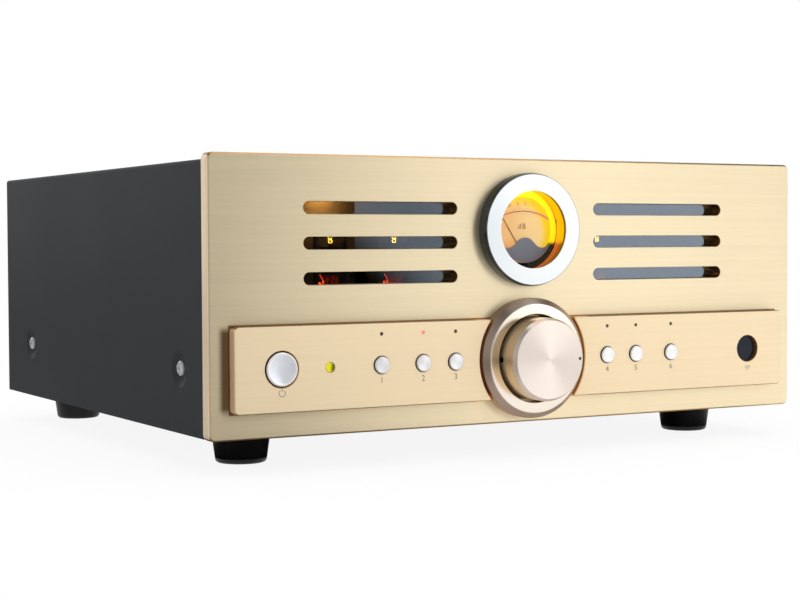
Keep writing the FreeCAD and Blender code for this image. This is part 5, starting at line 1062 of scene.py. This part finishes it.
board_green = Paint("board_green", Coat_Weight=0.3)
cells = {"Vector": board_green.here(), "Scale": 120.0, "Mortar Size": 0.05}
track = board_green.add("ShaderNodeTexBrick", cells, "Fac").graded(0.3, 0.7)
board_green.mottle(track, (22, 74, 44), (48, 116, 70), 0.45, 0.3, limits=(0, 1))
board_green.raise_by(track, 0.00005)
dress(board_green, "front_board", "tube_board", "amplifier_board")
black_moulding = machined("black_moulding", (26, 26, 28), 0.42, 0.0, 1800.0, 0.00002, 0.12)
dress(black_moulding, "power_switch", "source_switches")


# Case. A tray of folded steel closed by a cover of thinner steel, both baked in charcoal paint, a
# dark painted rear panel, bright cross-head screws in pressed dimples and black rubber feet.
dress(machined("charcoal_paint", (47, 51, 54), 0.5, 0.0, 2600.0, 0.00003, 0.10, Specular_IOR_Level=0.2),
      "top_cover", "chassis_base")
dress(machined("rear_paint", (40, 42, 44), 0.5, 0.0, 2600.0, 0.00003, 0.10), "rear_panel")
dress(machined("bright_screws", (226, 228, 228), 0.3, 0.6, 900.0, 0.000004, 0.03), "case_screws")
dress(machined("foot_rubber", (10, 10, 11), 0.4, 0.0, 1500.0, 0.00003, 0.12, Specular_IOR_Level=0.28),
      "foot_front_left", "foot_front_right", "foot_rear_left", "foot_rear_right")


# Tubes. Four small glass tubes on their own boards. Each has a grey anode between mica discs, red hot
# heater wires at its foot, a thin wire frame and two getter rings over its top disc. Painted red glow
# lies in streaks low on the anode, the frame carries a dim painted glow and the getter rings a painted
# glow for glints; one weak warm lamp in the case gives the glow behind the top slot.
GLOW_LOW = 0.105
GLOW_HIGH = 0.109
GETTER_RADIUS = 0.0012
GETTER_WIRE = 0.0003
TUBE_PITCH = 0.046
WARM_PLACE = (0.05, 0.182, 0.168)
WARM_POWER = 1.8
WARM_SIZE = 0.004
tube_glass = Paint("tube_glass", IOR=1.47, Transmission_Weight=1.0)
tube_glass.mottle(tube_glass.noise(90.0, 4.0), (250, 250, 246), (240, 242, 240), 0.0, 0.06,
                  limits=(0.3, 0.9))
dress(tube_glass, "tube_envelopes")

anode_grey = Paint("anode_grey", Metallic=0.8, Emission_Strength=7.0)
height = anode_grey.axes()[2]
crimp = anode_grey.noise(400.0, 3.0)
# Painted light: red glow in thin streaks low on the anode, standing in for the heaters' light on it
low_band = height.graded(GLOW_LOW - 0.002, GLOW_LOW) * height.graded(GLOW_HIGH + 0.004, GLOW_HIGH)
wire = abs(anode_grey.noise(330.0) - 0.5).graded(0.014, 0.005)
anode_grey.mottle(crimp, (58, 56, 54), (96, 92, 88), 0.35, 0.6)
anode_grey.set(Emission_Color=(low_band * wire).blend((0, 0, 0), (236, 54, 14)))
dress(anode_grey, "tube_electrodes")


def glowing_wire(name, strength, metal, rough, colours, glows, scale, limits=(None, None)):
    """Glowing wire, mottled in its colour and its light: the heaters' own, or painted light on getters and
    frame.
    """
    paint = Paint(name, Metallic=metal, Roughness=rough, Emission_Strength=strength)
    patchy = paint.noise(scale)
    bright = patchy.graded(*limits) if limits[0] else patchy
    paint.set(Emission_Color=bright.blend(*glows), Base_Color=patchy.blend(*colours))
    return paint


# Painted light on the getter rings and the frame; only the heaters' glow is their own
getter_glow = glowing_wire("getter_glow", 22.0, 0.6, 0.3, ((150, 140, 120), (200, 190, 170)),
                           ((255, 196, 30), (255, 236, 110)), 900.0)
heater_glow = glowing_wire("heater_glow", 22.0, 0.4, 0.5, ((90, 60, 50), (130, 90, 70)),
                           ((150, 16, 4), (255, 84, 24)), 420.0, (0.35, 0.65))
frame_glow = glowing_wire("frame_glow", 0.9, 0.8, 0.4, ((120, 116, 110), (160, 154, 146)),
                          ((120, 50, 20), (220, 110, 60)), 300.0)

low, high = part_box("tube_envelopes")
tube_radius = (high.y - low.y) / 2
tube_line = low.y + tube_radius
top_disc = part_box("tube_electrodes")[1].z
getter_ring = [(GETTER_RADIUS + GETTER_WIRE * math.sin(math.radians(angle)),
                GETTER_WIRE * math.cos(math.radians(angle)) + (low.y + high.y) / 2)
               for angle in range(0, 360, 45)]
first_tube, last_tube = low.x + tube_radius, high.x - tube_radius
tubes = [(1, first_tube), (2, first_tube + TUBE_PITCH), (3, last_tube - TUBE_PITCH), (4, last_tube)]
for number, across in tubes:
    for level in range(2):
        centre = Vector((across, 0, top_disc + GETTER_RADIUS * (1 + 2 * level)))
        place_piece(turned(f"getter_{number}_{level + 1}", getter_ring, {}, centre, getter_glow, 20,
                           closed=True), "electrode_grey")


def bent_wire(name, place, points, radius, paint):
    """Thin wire bent at points that are given across, in depth and up from a place."""
    curve = bpy.data.curves.new(name, "CURVE")
    curve.dimensions = "3D"
    curve.bevel_depth = radius
    curve.bevel_resolution = 1
    curve.use_fill_caps = True
    line = curve.splines.new("POLY")
    line.points.add(len(points) - 1)
    for point, offsets in zip(line.points, points):
        point.co = (*[start + offset for start, offset in zip(place, offsets)], 1)
    place_piece(add_piece(name, curve_mesh(name, curve), paint), "electrode_grey")


HEATER_BENDS = (
    ([(-0.0084, 0, 0.0004), (-0.0074, 0, 0.0026), (-0.0064, 0, 0.0006), (-0.0052, 0, 0.0030),
      (-0.0040, 0, 0.0008), (-0.0026, 0, 0.0032), (-0.0016, 0, 0.0010)], 0.0002),
    ([(-0.0076, -0.001, 0.0072), (-0.0058, -0.001, 0.0040), (-0.0048, -0.001, 0.0014)], 0.00015),
    ([(0.0004, -0.002, -0.0010), (0.0004, -0.002, 0.0066)], 0.00025))
FRAME_BENDS = [(0.0044, 0.003, 0), (0.0044, 0.003, 0.0046), (0.0080, 0.001, 0.0046), (0.0080, 0.001, 0)]
for number, across in tubes:
    for index, (bends, radius) in enumerate(HEATER_BENDS, 1):
        bent_wire(f"heater_{number}_{index}", (across, tube_line, GLOW_LOW), bends, radius, heater_glow)
    bent_wire(f"tube_frame_{number}", (across, tube_line, top_disc), FRAME_BENDS, 0.0002, frame_glow)
warm_lamp = add_light("tube_warmth", "POINT", WARM_PLACE, WARM_POWER)
warm_lamp.data.color = (1.0, 0.52, 0.10)
warm_lamp.data.shadow_soft_size = WARM_SIZE
warm_lamp.visible_transmission = False
warm_lamp.visible_camera = False
warm_lamp.visible_glossy = False
dress(machined("socket_ceramic", (228, 222, 208), 0.45, 0.0, 700.0, 0.00003), "tube_sockets")


# Amplifier board. Pillared over the tray with six large capacitors, two finned heat sinks that carry
# the output transistors, and rows of resistors.
ROW_LIFT = 0.00005
ROW_ACROSS = 0.160
RESISTOR_RADIUS = 0.0011
RESISTOR_LENGTH = 0.0060
sleeve = Paint("capacitor_sleeve")
can_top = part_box("filter_capacitors")[1].z
capped = sleeve.axes()[2].graded(can_top - 0.0012, can_top - 0.0008)
crinkle = sleeve.noise(240.0, 3.0)
film = crinkle.blend((24, 26, 40), (42, 46, 66))
sleeve.set(Base_Color=capped.blend(film, (190, 192, 194)), Metallic=capped,
           Roughness=crinkle.graded(0.2, 0.8, 0.28, 0.42))
dress(sleeve, "filter_capacitors")
dress(machined("sink_black", (34, 34, 36), 0.48, 0.6, 1400.0, 0.00002), "heatsinks")

rows = Tool("resistor_rows", {
    "Across": 7, "Deep": 7, "Pitch Across": 0.011, "Pitch Deep": 0.0125, "Length": RESISTOR_LENGTH,
    "Radius": RESISTOR_RADIUS, "Share": 0.7, "Seed": 4, "Place": (0, 0, 0)})
given = rows.given
points = rows.add("GeometryNodeMeshGrid", {
    "Size X": (given["Across"] - 1.0) * given["Pitch Across"], "Vertices X": given["Across"],
    "Size Y": (given["Deep"] - 1.0) * given["Pitch Deep"], "Vertices Y": given["Deep"]})
chosen = rows.add("FunctionNodeRandomValue", {"Probability": given["Share"], "Seed": given["Seed"]}, 3,
                  data_type="BOOLEAN")
rod = rows.add("GeometryNodeMeshCylinder", {
    "Vertices": 20, "Radius": given["Radius"], "Depth": given["Length"]})
lift = rows.add("ShaderNodeCombineXYZ", {"Z": given["Radius"]})
rod = rod.node("GeometryNodeTransform", {"Rotation": (math.pi / 2, 0, 0), "Translation": lift})
rows.finish(points, Selection=chosen, Instance=rod)
low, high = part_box("amplifier_board")
ceramic_brown = machined("resistor_brown", (176, 128, 84), 0.4, 0.0, 900.0, 0.00002, 0.3)
place_piece(rows.grow("amplifier_resistors", ceramic_brown, Place=(
    low.x + ROW_ACROSS, (low.y + high.y) / 2, high.z + ROW_LIFT)), "circuit_board")


# Mains transformer. A ring core wound with varnished wire under a pale film, held down on the tray
# by a round steel plate and one bolt.
TURNS_SEEN = 72.0
winding = Paint("winding_film", Coat_Weight=0.5)
x, y = winding.axes(middle("power_transformer"))[:2]
wraps = (y.math("ARCTAN2", x) * TURNS_SEEN).math("SINE") * 0.5 + 0.5
soiled = winding.noise(60.0, 4.0)
film = soiled.graded(0.4, 0.8, 0, 0.5).blend(wraps.blend((196, 170, 58), (226, 204, 98)), (168, 138, 48))
winding.set(Base_Color=film, Roughness=soiled.graded(0.2, 0.8, 0.22, 0.4))
winding.raise_by(wraps, 0.0003)
dress(winding, "power_transformer")
dress(machined("clamp_zinc", (186, 184, 170), 0.36, 1.0, 700.0, 0.00002, 0.12), "transformer_plate")


# Rear panel's sockets. Gold-plated loudspeaker posts with fluted caps, two rows of gold-plated input
# sockets with a white and a red insulator, and a steel data socket.
JACK_COLUMNS = 5
JACK_PITCH = 0.0225
JACK_ROW_PITCH = 0.022
JACK_BORE = 0.0032
JACK_SHELL = 0.00415
JACK_FLANGE = 0.0065
JACK_TAIL = 0.0049
JACK_PIN = 0.0016
JACK_PIN_REACH = 0.007
NUT_HEIGHT = 0.0022
FLANGE_HEIGHT = 0.0015
gold = machined("gold_plating", (236, 198, 112), 0.2, 1.0, 1500.0, 0.000005)
dress(gold, "speaker_posts")
dress(machined("red_cap", (176, 22, 24), 0.3, 0.0, 1200.0), "post_cap_2", "post_cap_4")
dress(machined("black_cap", (24, 24, 26), 0.3, 0.0, 1200.0), "post_cap_1", "post_cap_3")

low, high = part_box("rca_jacks")
rear_low, rear_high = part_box("rear_panel")
first_jack = Vector((low.x + JACK_FLANGE, 0, low.z + JACK_FLANGE))
nut, collar = rear_low.y - NUT_HEIGHT, rear_high.y + FLANGE_HEIGHT
shell_corners = [(JACK_BORE, low.y), (JACK_TAIL, low.y), (JACK_TAIL, nut), (JACK_FLANGE, nut),
                 (JACK_FLANGE, rear_low.y), (JACK_TAIL, rear_low.y), (JACK_TAIL, rear_high.y),
                 (JACK_FLANGE, rear_high.y), (JACK_FLANGE, collar), (JACK_SHELL, collar),
                 (JACK_SHELL, high.y), (JACK_BORE, high.y)]
core_face, core_side = high.y - 0.002, JACK_BORE - 0.00002
core_corners = [(0, low.y), (core_side, low.y), (core_side, core_face), (JACK_PIN, core_face),
                (JACK_PIN, core_face - JACK_PIN_REACH), (0, core_face - JACK_PIN_REACH)]

grid_of = Tool("socket_grid", {
    "Piece": "Object", "Columns": JACK_COLUMNS, "Rows": 2, "Pitch Across": JACK_PITCH,
    "Pitch Up": JACK_ROW_PITCH})
given = grid_of.given
across, up = [grid_of.add("GeometryNodeMeshLine", {
    "Count": given[count], "Offset": grid_of.add("ShaderNodeCombineXYZ", {axis: given[pitch]})})
    for count, axis, pitch in (("Columns", "X", "Pitch Across"), ("Rows", "Z", "Pitch Up"))]
places = up.node("GeometryNodeInstanceOnPoints", {"Instance": across}).node("GeometryNodeRealizeInstances")
grid_of.finish(places, Instance=given["Piece"].node("GeometryNodeObjectInfo", output="Geometry"))

white_moulding = machined("white_moulding", (226, 226, 222), 0.4, 0.0, 1500.0)
red_moulding = machined("red_moulding", (184, 26, 24), 0.4, 0.0, 1500.0)
shell_master = turned("shell_master", shell_corners, {8: 0.0003, 10: 0.0003, 11: 0.0002}, first_jack,
                      gold, 48, closed=True)
core_master = turned("core_master", core_corners, {}, first_jack, gold, 32)
jacks = [grid_of.grow("jack_shells", gold, Piece=shell_master),
         grid_of.grow("jack_cores_low", red_moulding, Piece=core_master, Rows=1),
         grid_of.grow("jack_cores_high", white_moulding, Piece=core_master, Rows=1)]
jacks[2].data.transform(Matrix.Translation((0, 0, JACK_ROW_PITCH)))
for master in (shell_master, core_master):
    bpy.data.objects.remove(master)
for piece in jacks:
    place_piece(piece, "gold_plate", "rca_jacks")

socket_steel = Paint("socket_steel")
x, z = socket_steel.axes(middle("usb_socket"))[::2]
inside = abs(x).graded(0.0030, 0.0029) * abs(z).graded(0.0018, 0.0017)
socket_steel.set(Base_Color=inside.blend((186, 188, 192), (232, 232, 228)), Metallic=1.0 - inside,
                 Roughness=socket_steel.noise(500.0, 4.0).graded(0.2, 0.8, 0.22, 0.4))
dress(socket_steel, "usb_socket")


# Mains inlet. Black moulding with three plated blades in its mouth and a drawer below for the fuse,
# screwed to the rear panel.
BLADE_ACROSS = 0.007
BLADE_DROP = 0.002
INLET_RISE = 0.064
inlet_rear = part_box("iec_inlet")[1].y
inlet_black = Paint("inlet_moulding")
x, y, z = inlet_black.axes()
blades = [abs(x - (middle("iec_inlet").x + across)).graded(0.0012, 0.0011)
          * abs(z - (INLET_RISE - drop)).graded(0.0022, 0.0021)
          for across, drop in ((-BLADE_ACROSS, BLADE_DROP), (0, -BLADE_DROP), (BLADE_ACROSS, BLADE_DROP))]
blade = blades[0].most(blades[1]).most(blades[2])
blade = (blade * y.graded(inlet_rear - 0.0158, inlet_rear - 0.0156)
         * y.graded(inlet_rear - 0.0010, inlet_rear - 0.0012))
grit = inlet_black.noise(1200.0, 3.0)
moulded = grit.blend((20, 20, 22), (34, 34, 36))
inlet_black.set(Base_Color=blade.blend(moulded, (200, 198, 186)), Metallic=blade,
                Roughness=grit.graded(0.2, 0.8, 0.32, 0.5))
dress(inlet_black, "iec_inlet")
dress(black_moulding, "fuse_drawer")


# Marks on the rear panel. Pale print: numbers over the columns of input sockets and the signs of
# the loudspeaker posts.
JACK_NUMBER_RISE = 0.126
POST_SIGN_RISE = 0.078
pale_ink = machined("pale_print", (214, 214, 210), 0.5, 0.0, 3000.0, 0.000002)
rear_print = rear_high.y + PRINT_LIFT
for column in range(JACK_COLUMNS):
    printed(f"jack_number_{column + 1}", str(column + 1), 0.0042,
            (first_jack.x + column * JACK_PITCH, rear_print, JACK_NUMBER_RISE), pale_ink,
            "rear_steel", backwards=True)
for number in range(1, 5):
    printed(f"post_sign_{number}", "−+"[(number - 1) % 2], 0.0060,
            (middle(f"post_cap_{number}").x, rear_print, POST_SIGN_RISE), pale_ink,
            "rear_steel", backwards=True)
